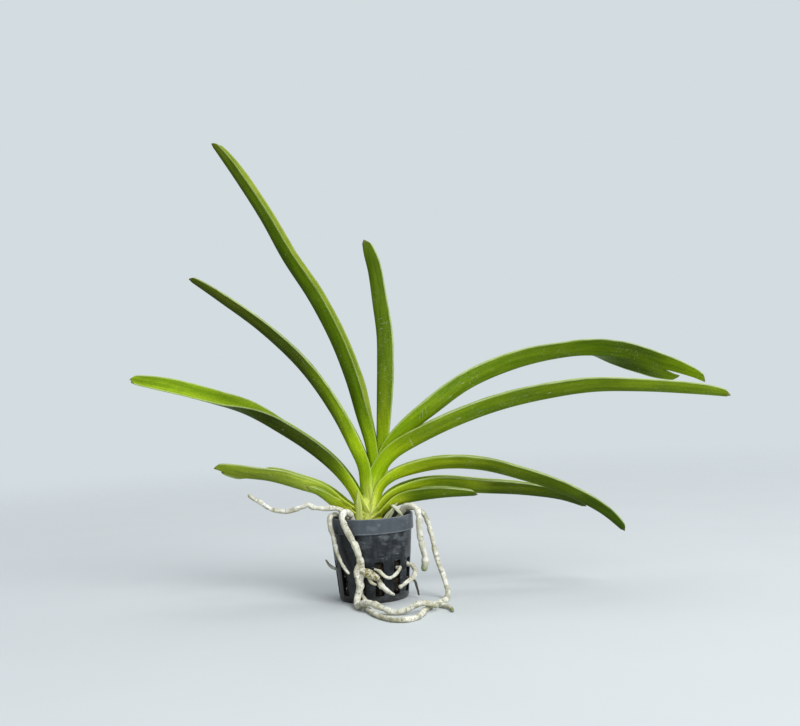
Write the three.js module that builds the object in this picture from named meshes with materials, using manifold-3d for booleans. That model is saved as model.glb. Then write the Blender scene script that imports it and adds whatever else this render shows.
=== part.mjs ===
// Vanda orchid seedling in a slotted nursery pot.
// Millimetres, +Z up. The origin is the centre of the pot's underside, the pot stands on z = 0,
// the fan of leaves spreads along X and its front faces -Y.
import * as THREE from 'three';
import { mergeVertices } from 'three/addons/utils/BufferGeometryUtils.js';
import Module from 'manifold-3d';

// ---------- driving dimensions ----------

// Gap kept between any two pieces that touch.
const GAP = 0.3;

// Pot: a tapered wall with a wider band at the rim and slots round its lower half.
const POT = {
  height: 42,
  bandHeight: 7.6,
  bandRadius: 21.5,
  bandStep: 0.4,
  rimRound: 0.3,
  wallTopRadius: 20.5,
  baseRadius: 17.5,
  cornerRadius: 1.5,
  cornerCut: 0.3,
  wall: 1,
  floor: 1.3,
  floorRound: 0.8,
  ledge: 1,
  sides: 48,
  slots: 12,
  slotWidth: 4.4,
  slotBottom: 3.5,
  slotTop: 20.5,
  slotDepth: 8,
  firstSlotDeg: 11,
};

// Growing medium: pieces of bark in a tapered plug that fills the pot.
const MEDIUM = {
  top: 34.5,
  edgeDrop: 1.5,
  edgeWidth: 3,
  footHeight: 1.6,
  footInset: 1.4,
  wallGap: 0.4,
  sides: 24,
  chunks: 18,
  chunkSize: [9, 6, 4.2],
  chunkScale: [0.7, 1.2],
  chunkTiltX: 0.35,
  chunkTiltY: 0.45,
  chunkSpread: 13.5,
  chunkLift: [0.6, 2],
  seed: 7,
};

// Blade section, in thicknesses: thick along the keel, thin at the margins, thinner at the tip.
// Along the blade: the folded base opens over a share of the length and no more than claspMost,
// the width falls to farWidth, and the tip rounds off over tipTaper to tipWidth. Each lobe of the
// tip is rounded at its margin, and what it stops short by is gathered near the end (tipGather).
// narrowing, thinning and unfolding: the stretch of the length over which each comes in.
const BLADE = {
  keelThickness: 1.6,
  armThickness: 1.15,
  marginThickness: 0.7,
  claspThickness: 0.75,
  tipKeel: 0.9,
  tipArm: 0.8,
  keelRadius: 0.9,
  across: [-1, -0.62, -0.26, 0, 0.26, 0.62, 1],
  stationEvery: 8.5,
  claspShare: 0.4,
  claspMost: 46,
  claspFade: 1.5,
  farWidth: 0.8,
  narrowing: [0.35, 0.95],
  thinning: [0.6, 1],
  unfolding: [0.5, 0.85],
  tipTaper: 26,
  tipWidth: 0.3,
  tipGather: 6,
  lobeRound: 2,
  lobeCurve: 3,
};

// Leaves from the innermost out. side: 1 left rank, -1 right rank. spine: the keel, x, y, z.
// width: from keel to margin. clasp: radius of the folded base. base: its share of the width.
// sheath: how far the sheath below the blade reaches back into the stem.
// open: half the fold angle in degrees at mid leaf and at the tip. roll: turn of the outer part
// about the keel, and the stretch of the leaf over which it comes in. short: how far the front
// lobe, the keel and the back lobe stop short of the end. A leaf's own farWidth and tipTaper stand
// in for those of the blade.
const LEAVES = [
  {
    name: 'leaf_c1', side: 1, sheath: 9, width: 8.6, base: 0.68, clasp: 0.75,
    open: [20, 30], roll: [0, 0, 1], short: [0.6, 1.6, 0], farWidth: 0.92, tipTaper: 16,
    spine: [[4.2, 0, 69], [5.4, 0, 84], [6.4, 0.4, 99.3], [7.5, 0.8, 117], [8, 1.3, 132],
      [6.8, 2, 148], [5.4, 2.6, 164], [3.6, 3.2, 174], [3, 3.5, 181]],
  },
  {
    name: 'leaf_r1', side: -1, sheath: 14, width: 9.4, base: 0.74, clasp: 1.85,
    open: [24, 80], roll: [64, 0.56, 0.8], short: [0, 22, 13],
    spine: [[8.8, 0, 64.5], [13, 0, 72.8], [20.8, 0.5, 80.4], [35.4, 2, 90.7], [53.9, 4, 102.6],
      [74.8, 6, 110.6], [95.7, 7.5, 115.1], [116.3, 8, 116.4], [136.6, 7.5, 113.4], [153.5, 6.5, 107],
      [173.4, 5, 98.8]],
  },
  {
    name: 'leaf_l1', side: 1, sheath: 6, width: 8.4, base: 0.8, clasp: 2.95,
    open: [24, 32], roll: [-15, 0.05, 0.2], short: [0, 1.8, 1],
    spine: [[0.8, 0, 63.5], [-0.8, 0, 77], [-4.4, 0.6, 91.5], [-8.9, 1.6, 110.2], [-15.9, 3, 130.9],
      [-25.6, 4.2, 151.8], [-37.8, 5.4, 172.9], [-48, 6, 193.9], [-59.9, 5.8, 215], [-71.3, 5, 233.8]],
  },
  {
    name: 'leaf_r2', side: -1, sheath: 13, width: 8.5, base: 1.15, clasp: 4.05,
    open: [26, 36], roll: [0, 0, 1], short: [1.2, 1.9, 0],
    spine: [[7, 0, 57.5], [8.2, 0, 61.4], [11.4, -0.1, 66.2], [15.6, -0.4, 70], [21.8, -1, 73.6],
      [42.3, -4, 83], [67.6, -7, 91.3], [92.5, -10, 96.1], [114, -12, 98.2], [136.8, -12.5, 97.3],
      [160, -12.5, 95], [182, -11, 92.2]],
  },
  {
    name: 'leaf_l2', side: 1, sheath: 13, width: 6.9, base: 1.3, clasp: 5.1,
    open: [28, 34], roll: [0, 0, 1], short: [0, 1.7, 1.2],
    spine: [[-4.4, 0, 55.5], [-5, 0, 65], [-8.6, -0.4, 74.8], [-17.4, -2.6, 94.6], [-31.2, -5.4, 116.5],
      [-49.9, -7.6, 136.6], [-69, -8, 152.4], [-84.3, -7, 164.4]],
  },
  {
    name: 'leaf_r3', side: -1, sheath: 9, width: 7.1, base: 1.08, clasp: 6.2,
    open: [30, 32], roll: [0, 0, 1], short: [0.4, 1.9, 0], farWidth: 0.88,
    spine: [[5.2, 0, 46.6], [6, 0, 50], [8, -0.1, 54.4], [12.4, -0.4, 57.8], [17.8, -0.8, 59.9],
      [36.2, -4.4, 63.3], [56, -8, 62.2], [75.4, -10.6, 56.7], [94.7, -12.6, 49.3],
      [113.7, -13.8, 38.5], [125.2, -14, 28.4]],
  },
  {
    name: 'leaf_l3', side: 1, sheath: 9, width: 7.3, base: 1.2, clasp: 6.2,
    open: [28, 46], roll: [-52, 0.4, 0.66], short: [1, 1.8, 0],
    spine: [[-7.8, 0, 48], [-10.8, 0, 54.4], [-17.8, 1.2, 63.6], [-29, 3.2, 74], [-43.9, 4.6, 84.8],
      [-63.6, 5, 96.9], [-88.5, 4, 106.5], [-118.6, 2, 115.3]],
  },
  {
    name: 'leaf_r4', side: -1, sheath: 6, width: 8.2, base: 0.95, clasp: 7.3,
    open: [30, 34], roll: [0, 0, 1], short: [0, 1.6, 1],
    spine: [[6.6, 0, 43.8], [9.8, 0, 47.8], [14.4, 0.6, 50.4], [20.6, 1.6, 51.6], [36.1, 5, 51.6],
      [56.5, 8, 48.9], [77.1, 10.6, 46.7], [97.8, 13, 42.8], [111, 14, 38]],
  },
  {
    name: 'leaf_l4', side: 1, sheath: 6, width: 7.6, base: 0.85, clasp: 7.3,
    open: [26, 74], roll: [36, 0.6, 0.85], short: [0, 6, 4], farWidth: 1.1, tipTaper: 22,
    spine: [[-8, 0, 43.2], [-13.4, 0, 46.8], [-22, 1, 51.4], [-35, 1.8, 56.1], [-50, 2, 61.1],
      [-65, 1, 64], [-78, 0, 68.2]],
  },
  {
    name: 'leaf_r5', side: -1, sheath: 5, width: 6.6, base: 1.1, clasp: 8.3,
    open: [24, 30], roll: [0, 0, 1], short: [0, 1.3, 0.6],
    spine: [[6.2, 0, 40.8], [9, 0, 43], [12.7, -0.6, 45.1], [18.6, -1.8, 46.8], [35.5, -4.6, 48.9],
      [54.4, -6, 49.3]],
  },
  {
    name: 'leaf_l5', side: 1, sheath: 5, width: 5.8, base: 1.25, clasp: 8.3,
    open: [24, 30], roll: [0, 0, 1], short: [0.4, 1.2, 0],
    spine: [[-8.2, 0, 40.6], [-13, -0.6, 43.4], [-19, -2.4, 47.4], [-24, -4, 52], [-31.5, -5, 57.4]],
  },
];

// Stem: the axis that carries the sheaths. rings: x, z, half width, half depth, from the foot up.
// sheathRings: share of the way down a sheath, and the share of its depth that is left there.
const STEM = {
  rings: [[0, 20, 3.2, 2.8], [0, 32, 6.6, 5], [-0.8, 38, 7, 5.4], [0, 50, 5.4, 4.8], [3.4, 62, 4.4, 2.6]],
  sides: 16,
  sheathLap: 0.4,
  sheathRings: [[1, 0.8], [0.45, 0.91], [0, 1]],
};

// Dry sheath ends at the rim. rings: share of the length and share of the width.
const DRY_SHEATHS = [
  { foot: [-5.4, -6.2, 40], tip: [-5.4, -6.8, 55], width: 4.2, thickness: 0.9 },
  { foot: [6, -4.6, 37], tip: [14, -6.6, 47.8], width: 4.6, thickness: 0.9 },
  { foot: [12.2, -6.3, 46], tip: [17, -8.2, 40.6], width: 2.6, thickness: 0.8 },
];
const DRY_SHEATH_RINGS = [[-0.15, 1], [0.5, 0.77], [1, 0.18]];

// Roots: radius at the start, the middle and the tip, the route, and any side branches.
// Stretches on the surface have their axis one radius above z = 0.
const ROOTS = [
  {
    name: 'root_a', radius: [1.5, 1.75, 1.25],
    route: [[-7.4, -11.4, 33.5], [-8.6, -13.4, 41.3], [-9.4, -15, 44.2], [-11.1, -17, 45.7],
      [-12.7, -18.8, 45.1], [-13.3, -19.6, 43.3], [-12.5, -20.5, 40.4], [-11.2, -21, 37.4],
      [-9.4, -21.7, 33.8], [-7.1, -21.8, 28.8], [-5.6, -21.6, 23], [-5, -21.2, 18.5],
      [-5.4, -20.9, 14], [-6.4, -20.7, 8.3], [-7.8, -22.2, 3.6], [-7.2, -27.4, 1.5],
      [-5.4, -32.4, 3], [-3.4, -36.2, 4.6], [0.2, -39.8, 4.6], [4.6, -42.6, 3], [10, -45.4, 1.5],
      [16, -46.4, 2.4], [20.6, -45.4, 4.2], [24.6, -43.6, 4.6], [28.2, -41.2, 3.2],
      [30.8, -38.6, 1.4]],
    branches: [
      {
        radius: [1, 1.25, 1],
        route: [[-5.8, -21.4, 21.6], [-7.4, -22, 17.6], [-7.5, -22, 13.8], [-6.9, -21.6, 10.1]],
      },
      {
        radius: [1.7, 2.1, 1.5],
        route: [[-5.5, -21.2, 17], [-2.2, -22.2, 16.2], [1.2, -22.8, 14.4], [3.6, -22.9, 12.8]],
      },
      {
        radius: [0.9, 0.8, 0.6],
        route: [[-1.6, -22, 13.6], [-0.6, -22.6, 11.5], [0.8, -22.9, 10.7], [2.2, -22.9, 10.4]],
      },
    ],
  },
  {
    name: 'root_b', radius: [1.2, 1.2, 0.7],
    route: [[-10.4, -3.4, 32], [-13.6, -6, 39.2], [-16.4, -9, 43.8], [-19.5, -12, 43.2],
      [-19.6, -13.4, 38], [-18.9, -13.7, 35.6], [-17.8, -14.8, 30], [-16.4, -15.3, 24.8],
      [-14.6, -16.6, 20.4], [-12.7, -18.2, 17.4], [-11.2, -19.4, 15.6]],
    branches: [],
  },
  {
    name: 'root_c', radius: [1.25, 1.2, 0.95],
    route: [[-8, -7.4, 33], [-10.2, -9.4, 40], [-12.9, -11, 45.2], [-16.4, -13, 47],
      [-19.9, -14.5, 47.7], [-23.6, -15.6, 48], [-27.8, -16.2, 48.9], [-29.8, -16.4, 50.4],
      [-32, -16.2, 49.4], [-35.9, -15.6, 48.1], [-40.9, -15, 47.3], [-44.6, -14.4, 47.7],
      [-48.3, -14, 48.8], [-53.2, -13, 51.9], [-57.5, -12.2, 54.5], [-59.5, -11.8, 56.3]],
    branches: [],
  },
  {
    name: 'root_d', radius: [1.15, 1.5, 1.6],
    route: [[14.8, -3.4, 33.5], [15.4, -4, 41.2], [17, -6, 45.4], [20.4, -8.8, 46.3],
      [23.2, -10.8, 44.7], [24.3, -11.6, 41], [24.3, -11.6, 33], [25, -11, 27], [26.2, -10.4, 22],
      [26.3, -9.8, 17.4], [25.2, -9.4, 13.4]],
    branches: [],
  },
  {
    name: 'root_e', radius: [1.2, 1.3, 1],
    route: [[10.6, 2, 33], [14.6, 1, 40], [20, -0.6, 44.3], [25.6, -2.4, 42.6], [28.8, -3.8, 36.8],
      [30.2, -5, 30.6], [31.4, -6.4, 24], [32.4, -8, 18.4], [34.4, -9.6, 12.6], [36, -11.6, 7.8],
      [36.6, -15, 3.2], [35.4, -20.6, 1.3], [32.6, -26.4, 1.3], [29.2, -32, 1.3], [26.4, -38, 1.3],
      [24.4, -44.4, 1.3], [23, -52, 1.3], [20.6, -58.6, 1.3], [16, -62.4, 1.3], [11, -61.4, 1.3], [6.4, -56.6, 1.3],
      [2.4, -49.6, 1.3], [-0.6, -42, 1.3], [-2.6, -34, 1.3], [-3.4, -27, 1.4],
      [-3.8, -22.2, 2.8], [-5.8, -17, 5], [-5.2, -13.4, 5.9]],
    branches: [
      {
        radius: [1.2, 1.1, 0.7],
        route: [[29.6, -31.4, 1.4], [33.2, -35, 1.4], [36.4, -40, 1.2], [37.6, -47, 0.9]],
      },
    ],
  },
  {
    name: 'root_f', radius: [1.2, 1.2, 0.9],
    route: [[13.6, -4.7, 18.6], [17, -5.8, 17], [20.2, -7.2, 16], [21.3, -9.6, 14], [20, -13.4, 11.7],
      [16.6, -16.8, 9.8], [12.8, -19.6, 7.7]],
    branches: [],
  },
  {
    name: 'root_g', radius: [0.9, 0.9, 0.8],
    route: [[2.8, -14.4, 16.2], [3.3, -18, 16.2], [3.6, -21.2, 16.6], [4.8, -22.7, 15.8], [6.6, -22.6, 14],
      [8.6, -21.8, 13.2], [11, -20.2, 14.2], [13.2, -18.2, 16.2], [13.9, -16.4, 17.2], [13.1, -14.9, 17],
      [11.6, -13.2, 16.6]],
    branches: [
      { radius: [0.7, 0.6, 0.5], route: [[3.8, -21.4, 16.4], [2.6, -22.5, 17.4], [1, -22.8, 18.2]] },
    ],
  },
  {
    name: 'root_h', radius: [1.2, 1.5, 0.5],
    route: [[3, -14, 10.9], [3.4, -18, 10.6], [4.2, -21.2, 9.6], [5.8, -22.9, 8.2], [8, -23.8, 6.6],
      [10.6, -24.3, 5.3]],
    branches: [],
  },
  {
    name: 'root_dead', radius: [0.8, 0.7, 0.45],
    route: [[14, -4.8, 10.1], [18, -6.2, 9.8], [20.6, -7, 8.5], [21.6, -7.6, 5.1], [22.4, -8, 1.2]],
    branches: [],
  },
  {
    name: 'root_tip', radius: [0.9, 0.8, 0.4],
    route: [[-14, -2.7, 15.6], [-18, -3.5, 15.8], [-21, -4.2, 17.4], [-23.4, -4.8, 21]],
    branches: [],
  },
];
const ROOT = {
  sides: 7,
  step: 3.2,
  fewestSteps: 4,
  tipShare: 0.7,
};

// Finishes.
const FINISHES = {
  leaf: new THREE.MeshStandardMaterial({ color: 0x5f7d1e, roughness: 0.45, metalness: 0 }),
  youngLeaf: new THREE.MeshStandardMaterial({ color: 0x6f9a2c, roughness: 0.45, metalness: 0 }),
  stem: new THREE.MeshStandardMaterial({ color: 0xa9c455, roughness: 0.5, metalness: 0 }),
  root: new THREE.MeshStandardMaterial({ color: 0xd6d9d1, roughness: 0.8, metalness: 0 }),
  deadRoot: new THREE.MeshStandardMaterial({ color: 0x4a4a40, roughness: 0.9, metalness: 0 }),
  pot: new THREE.MeshStandardMaterial({ color: 0x3f4851, roughness: 0.55, metalness: 0 }),
  bark: new THREE.MeshStandardMaterial({ color: 0x3b3229, roughness: 0.95, metalness: 0 }),
};

// ---------- solids and booleans ----------

const wasm = await Module();
wasm.setup();

function toManifold(geometry) {
  const bare = geometry.clone();
  bare.deleteAttribute('normal');
  bare.deleteAttribute('uv');
  const merged = mergeVertices(bare, 1e-4);
  return new wasm.Manifold(new wasm.Mesh({
    numProp: 3,
    vertProperties: new Float32Array(merged.attributes.position.array),
    triVerts: new Uint32Array(merged.index.array),
  }));
}

function toGeometry(solid) {
  const { vertProperties, triVerts, numProp } = solid.getMesh();
  const places = new Float32Array((vertProperties.length / numProp) * 3);
  for (let i = 0; i < places.length / 3; i += 1) {
    places.set(vertProperties.subarray(i * numProp, i * numProp + 3), i * 3);
  }
  const geometry = new THREE.BufferGeometry();
  geometry.setAttribute('position', new THREE.BufferAttribute(places, 3));
  geometry.setIndex(new THREE.BufferAttribute(new Uint32Array(triVerts), 1));
  return geometry;
}

function largestBody(solid) {
  const bodies = solid.decompose();
  bodies.sort((a, b) => b.volume() - a.volume());
  return bodies[0];
}

function indexed(points, faces) {
  const geometry = new THREE.BufferGeometry();
  geometry.setAttribute('position', new THREE.Float32BufferAttribute(points.flat(), 3));
  geometry.setIndex(faces.flat());
  return geometry;
}

function mix(a, b, t) {
  return a + (b - a) * t;
}

function ease(from, to, value) {
  return THREE.MathUtils.smoothstep(value, from, to);
}

function curveThrough(points) {
  return new THREE.CatmullRomCurve3(points.map((p) => new THREE.Vector3(...p)), false, 'centripetal');
}

// ---------- leaves ----------

// Centre line of a folded blade across its width, from margin to margin: a keel arc and two flat
// arms. Gives, for each place across, the offset along the fold's axis, the offset to the side and
// the way the outer face looks.
function foldSection(width, clasp, open) {
  const sweep = Math.PI / 2 - open;
  const arcLength = clasp * sweep;
  return BLADE.across.map((u) => {
    const along = Math.abs(u) * width;
    const angle = Math.min(along / clasp, sweep);
    const straight = Math.max(along - arcLength, 0);
    const up = clasp * (1 - Math.cos(angle)) + straight * Math.sin(sweep);
    const out = clasp * Math.sin(angle) + straight * Math.cos(sweep);
    const hand = Math.sign(u);
    return { u, up, out: out * hand, faceUp: -Math.cos(angle), faceOut: Math.sin(angle) * hand };
  });
}

// Directions at a place on the keel: tangent, up into the fold, and out to the front.
function leafFrame(leaf, curve, t) {
  const tangent = curve.getTangentAt(t);
  const up = new THREE.Vector3(0, leaf.side, 0).cross(tangent).normalize();
  const front = tangent.clone().cross(up).multiplyScalar(leaf.side).negate();
  const [turn, from, to] = leaf.roll;
  const roll = THREE.MathUtils.degToRad(turn) * ease(from, to, t);
  const rolledUp = up.clone().multiplyScalar(Math.cos(roll)).addScaledVector(front, -Math.sin(roll));
  const rolledFront = front.clone().multiplyScalar(Math.cos(roll)).addScaledVector(up, Math.sin(roll));
  return { tangent, up: rolledUp, front: rolledFront };
}

// Width, fold and thickness at a distance along a leaf whose tip is at the given end.
function leafShape(leaf, along, length, end) {
  const t = along / length;
  const opening = Math.min(length * BLADE.claspShare, BLADE.claspMost);
  const clasped = 1 - ease(0, opening, along);
  const middle = THREE.MathUtils.degToRad(leaf.open[0]);
  const tipFold = THREE.MathUtils.degToRad(leaf.open[1]);
  const { farWidth, tipTaper } = { ...BLADE, ...leaf };
  const taper = THREE.MathUtils.clamp((end - along) / tipTaper, 0, 1);
  const tip = mix(BLADE.tipWidth, 1, Math.sqrt(1 - (1 - taper) ** 2));
  const body = mix(1, farWidth, ease(...BLADE.narrowing, t));
  const thinning = ease(...BLADE.thinning, t);
  return {
    width: leaf.width * mix(leaf.base, 1, ease(0, opening, along)) * body * tip,
    clasp: mix(BLADE.keelRadius, leaf.clasp, clasped ** BLADE.claspFade),
    open: mix(middle, tipFold, ease(...BLADE.unfolding, t)) * ease(0, 1, 1 - clasped),
    keel: mix(mix(BLADE.keelThickness, BLADE.tipKeel, thinning), BLADE.claspThickness, clasped),
    arm: mix(mix(BLADE.armThickness, BLADE.tipArm, thinning), BLADE.claspThickness, clasped),
    margin: mix(BLADE.marginThickness, BLADE.claspThickness, clasped),
  };
}

// How far short of the leaf's end a place across the blade stops.
function shortOf(leaf, u) {
  const [front, keel, back] = leaf.short;
  return u === 0 ? keel : (u > 0 ? front : back) + BLADE.lobeRound * Math.abs(u) ** BLADE.lobeCurve;
}

// Outer and inner face at one place across the blade and a distance along it; grown moves both
// faces out.
function leafPlace(leaf, curve, length, column, along, grown) {
  const t = THREE.MathUtils.clamp(along / length, 0, 1);
  const place = curve.getPointAt(t);
  const { tangent, up, front } = leafFrame(leaf, curve, t);
  place.addScaledVector(tangent, along - t * length);
  const end = length - leaf.short[BLADE.across[column] < 0 ? 2 : 0];
  const shape = leafShape(leaf, t * length, length, end);
  const at = foldSection(shape.width + grown, shape.clasp, shape.open)[column];
  const away = Math.abs(at.u) * 2;
  const thickness = away < 1
    ? mix(shape.keel, shape.arm, away)
    : mix(shape.arm, shape.margin, away - 1);
  const middle = place.clone()
    .addScaledVector(up, at.up + shape.keel / 2)
    .addScaledVector(front, at.out);
  const face = up.clone().multiplyScalar(at.faceUp).addScaledVector(front, at.faceOut);
  return {
    outer: middle.clone().addScaledVector(face, thickness / 2 + grown),
    inner: middle.clone().addScaledVector(face, -thickness / 2 - grown),
  };
}

// Closed skin between two grids of points that run alike, row by row.
function skinBetween(outer, inner) {
  const rows = outer.length;
  const across = outer[0].length;
  const points = [...outer.flat(), ...inner.flat()].map((p) => p.toArray());
  const o = (i, j) => i * across + j;
  const n = (i, j) => rows * across + i * across + j;
  const faces = [];
  const quad = (a, b, c, d) => faces.push([a, b, c], [a, c, d]);
  for (let i = 0; i < rows - 1; i += 1) {
    for (let j = 0; j < across - 1; j += 1) {
      quad(o(i, j), o(i, j + 1), o(i + 1, j + 1), o(i + 1, j));
      faces.push([n(i, j), n(i + 1, j + 1), n(i, j + 1)], [n(i, j), n(i + 1, j), n(i + 1, j + 1)]);
    }
    quad(o(i, 0), o(i + 1, 0), n(i + 1, 0), n(i, 0));
    quad(o(i + 1, across - 1), o(i, across - 1), n(i, across - 1), n(i + 1, across - 1));
  }
  for (let j = 0; j < across - 1; j += 1) {
    quad(o(0, j + 1), o(0, j), n(0, j), n(0, j + 1));
    quad(o(rows - 1, j), o(rows - 1, j + 1), n(rows - 1, j + 1), n(rows - 1, j));
  }
  return indexed(points, faces);
}

function closedSolid(geometry) {
  const solid = toManifold(geometry);
  return solid.volume() < 0 ? toManifold(flipped(geometry)) : solid;
}

function flipped(geometry) {
  const copy = geometry.clone();
  const index = copy.index.array;
  for (let i = 0; i < index.length; i += 3) {
    [index[i + 1], index[i + 2]] = [index[i + 2], index[i + 1]];
  }
  return copy;
}

function leafBlade(leaf, grown = 0) {
  const curve = curveThrough(leaf.spine);
  const length = curve.getLength();
  const steps = Math.round(length / BLADE.stationEvery);
  const outer = [];
  const inner = [];
  for (let i = 0; i <= steps; i += 1) {
    const share = i / steps;
    const start = i === 0 ? GAP / 2 - grown : 0;
    const places = BLADE.across.map((u, column) => {
      const along = length * share - shortOf(leaf, u) * share ** BLADE.tipGather;
      return leafPlace(leaf, curve, length, column, along + start + (i === steps ? grown : 0), grown);
    });
    outer.push(places.map((place) => place.outer));
    inner.push(places.map((place) => place.inner));
  }
  return closedSolid(skinBetween(outer, inner));
}

// ---------- stem ----------

// The sheath below a leaf: its folded section filled solid, run down into the stem.
function leafSheath(leaf, grown) {
  const curve = curveThrough(leaf.spine);
  const length = curve.getLength();
  const outer = BLADE.across.map((u, column) => (
    leafPlace(leaf, curve, length, column, -GAP / 2 + grown, grown).outer));
  const tangent = curve.getTangentAt(0);
  const inward = new THREE.Vector3(0, leaf.side, 0).cross(tangent).normalize();
  const lap = (p) => p.clone().addScaledVector(inward, STEM.sheathLap + grown);
  const ring = [...outer, lap(outer[outer.length - 1]), lap(outer[0])];
  const back = tangent.clone().multiplyScalar(-leaf.sheath - 2 * grown);
  return prismThrough(STEM.sheathRings.map(([share, deep]) => ring.map((p) => {
    const q = p.clone().addScaledVector(back, share);
    q.y *= deep;
    return q;
  })));
}

// Solid through rings with the same number of points, closed by fans at both ends.
function prismThrough(rings) {
  const count = rings[0].length;
  const points = rings.flat().map((p) => p.toArray());
  const faces = [];
  for (let i = 0; i < rings.length - 1; i += 1) {
    for (let j = 0; j < count; j += 1) {
      const k = (j + 1) % count;
      const a = i * count + j;
      const b = i * count + k;
      faces.push([a, b, b + count], [a, b + count, a + count]);
    }
  }
  const last = (rings.length - 1) * count;
  for (let j = 1; j < count - 1; j += 1) {
    faces.push([0, j + 1, j], [last, last + j, last + j + 1]);
  }
  return closedSolid(indexed(points, faces));
}

function stemRing([x, z, halfWidth, halfDepth], grown) {
  return Array.from({ length: STEM.sides }, (_, i) => {
    const angle = (2 * Math.PI * i) / STEM.sides;
    return new THREE.Vector3(
      x + (halfWidth + grown) * Math.cos(angle),
      (halfDepth + grown) * Math.sin(angle),
      z,
    );
  });
}

function drySheath({ foot, tip, width, thickness }, grown) {
  const low = new THREE.Vector3(...foot);
  const high = new THREE.Vector3(...tip);
  const more = grown / low.distanceTo(high);
  const deep = thickness / 2 + grown;
  return prismThrough(DRY_SHEATH_RINGS.map(([share, widthShare], i) => {
    const reach = share + more * (i - 1);
    const p = low.clone().lerp(high, reach);
    const half = (width / 2) * widthShare + grown;
    return [[-half, -deep], [half, -deep], [half, deep], [-half, deep]]
      .map(([x, y]) => new THREE.Vector3(p.x + x, p.y + y, p.z));
  }));
}

function stemSolid(grown = 0) {
  const rings = STEM.rings.map((ring) => stemRing(ring, grown));
  rings[0].forEach((p) => { p.z -= grown; });
  rings[rings.length - 1].forEach((p) => { p.z += grown; });
  let solid = prismThrough(rings);
  for (const leaf of LEAVES) {
    solid = solid.add(leafSheath(leaf, grown));
  }
  for (const sheath of DRY_SHEATHS) {
    solid = solid.add(drySheath(sheath, grown));
  }
  return largestBody(solid);
}

// ---------- roots ----------

// Tube along a route; grown makes it thicker and longer at both ends.
function rootTube({ radius, route }, grown) {
  const curve = curveThrough(route);
  const length = curve.getLength();
  const steps = Math.max(Math.round(length / ROOT.step), ROOT.fewestSteps);
  const frames = curve.computeFrenetFrames(steps, false);
  const rings = [];
  for (let i = 0; i <= steps; i += 1) {
    const t = i / steps;
    const longer = grown * ((i === steps) - (i === 0));
    const place = curve.getPointAt(t).addScaledVector(frames.tangents[i], longer);
    const half = Math.floor(t * 2 * (1 - Number.EPSILON));
    const thick = mix(radius[half], radius[half + 1], t * 2 - half) * (i === steps ? ROOT.tipShare : 1);
    rings.push(Array.from({ length: ROOT.sides }, (_, j) => {
      const angle = (2 * Math.PI * j) / ROOT.sides;
      const p = place.clone()
        .addScaledVector(frames.normals[i], Math.cos(angle) * (thick + grown))
        .addScaledVector(frames.binormals[i], Math.sin(angle) * (thick + grown));
      p.z = Math.max(p.z, grown > 0 ? -1 : 0);
      return p;
    }));
  }
  return prismThrough(rings);
}

function rootSolid(root, grown = 0) {
  let solid = rootTube(root, grown);
  for (const branch of root.branches) {
    solid = solid.add(rootTube(branch, grown));
  }
  return largestBody(solid);
}

// ---------- pot ----------

function potSolid() {
  const bandBottom = POT.height - POT.bandHeight;
  const inside = (radius) => radius - POT.wall;
  const corner = POT.cornerRadius;
  const cut = corner * POT.cornerCut;
  const profile = [
    [0, 0],
    [POT.baseRadius - corner, 0],
    [POT.baseRadius - cut, cut],
    [POT.baseRadius, corner],
    [POT.wallTopRadius, bandBottom - POT.bandStep / 2],
    [POT.bandRadius, bandBottom + POT.bandStep / 2],
    [POT.bandRadius, POT.height - POT.rimRound],
    [POT.bandRadius - POT.rimRound, POT.height],
    [inside(POT.bandRadius), POT.height],
    [inside(POT.bandRadius), bandBottom + POT.ledge],
    [inside(POT.wallTopRadius), bandBottom],
    [inside(POT.baseRadius), corner + POT.bandStep],
    [inside(POT.baseRadius) - POT.floorRound, POT.floor],
    [0, POT.floor],
  ].map(([r, z]) => new THREE.Vector2(r, z));
  const shell = new THREE.LatheGeometry(profile, POT.sides);
  shell.rotateX(Math.PI / 2);
  let solid = closedSolid(shell);
  const slotHeight = POT.slotTop - POT.slotBottom;
  for (let i = 0; i < POT.slots; i += 1) {
    const slot = new THREE.BoxGeometry(POT.slotWidth, POT.slotDepth, slotHeight);
    slot.translate(0, -POT.baseRadius - POT.wall, (POT.slotTop + POT.slotBottom) / 2);
    slot.rotateZ(THREE.MathUtils.degToRad(POT.firstSlotDeg + (360 / POT.slots) * i));
    solid = solid.subtract(closedSolid(slot));
  }
  return largestBody(solid);
}

// ---------- medium ----------

// Park-Miller draws, so the bark lies the same way each time.
function drawsFrom(seed) {
  const factor = 16807;
  const modulus = 2147483647;
  let state = seed;
  return () => {
    state = (state * factor) % modulus;
    return state / modulus;
  };
}

// Inner radius of the pot's wall at a height, less the gap that the medium keeps.
function mediumRadius(z) {
  const wallTop = POT.height - POT.bandHeight;
  const share = (z - POT.cornerRadius) / (wallTop - POT.cornerRadius);
  return mix(POT.baseRadius, POT.wallTopRadius, share) - POT.wall - MEDIUM.wallGap;
}

function barkChunk(i, draw) {
  const size = MEDIUM.chunkSize.map((side) => side * mix(...MEDIUM.chunkScale, draw()));
  const chunk = new THREE.BoxGeometry(...size);
  chunk.rotateX(mix(-MEDIUM.chunkTiltX, MEDIUM.chunkTiltX, draw()));
  chunk.rotateY(mix(-MEDIUM.chunkTiltY, MEDIUM.chunkTiltY, draw()));
  chunk.rotateZ(2 * Math.PI * draw());
  const angle = Math.PI * (3 - Math.sqrt(5)) * i;
  const reach = MEDIUM.chunkSpread * Math.sqrt((i + 0.5) / MEDIUM.chunks);
  const lift = mix(...MEDIUM.chunkLift, draw());
  chunk.translate(reach * Math.cos(angle), reach * Math.sin(angle), MEDIUM.top + lift);
  return closedSolid(chunk);
}

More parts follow.
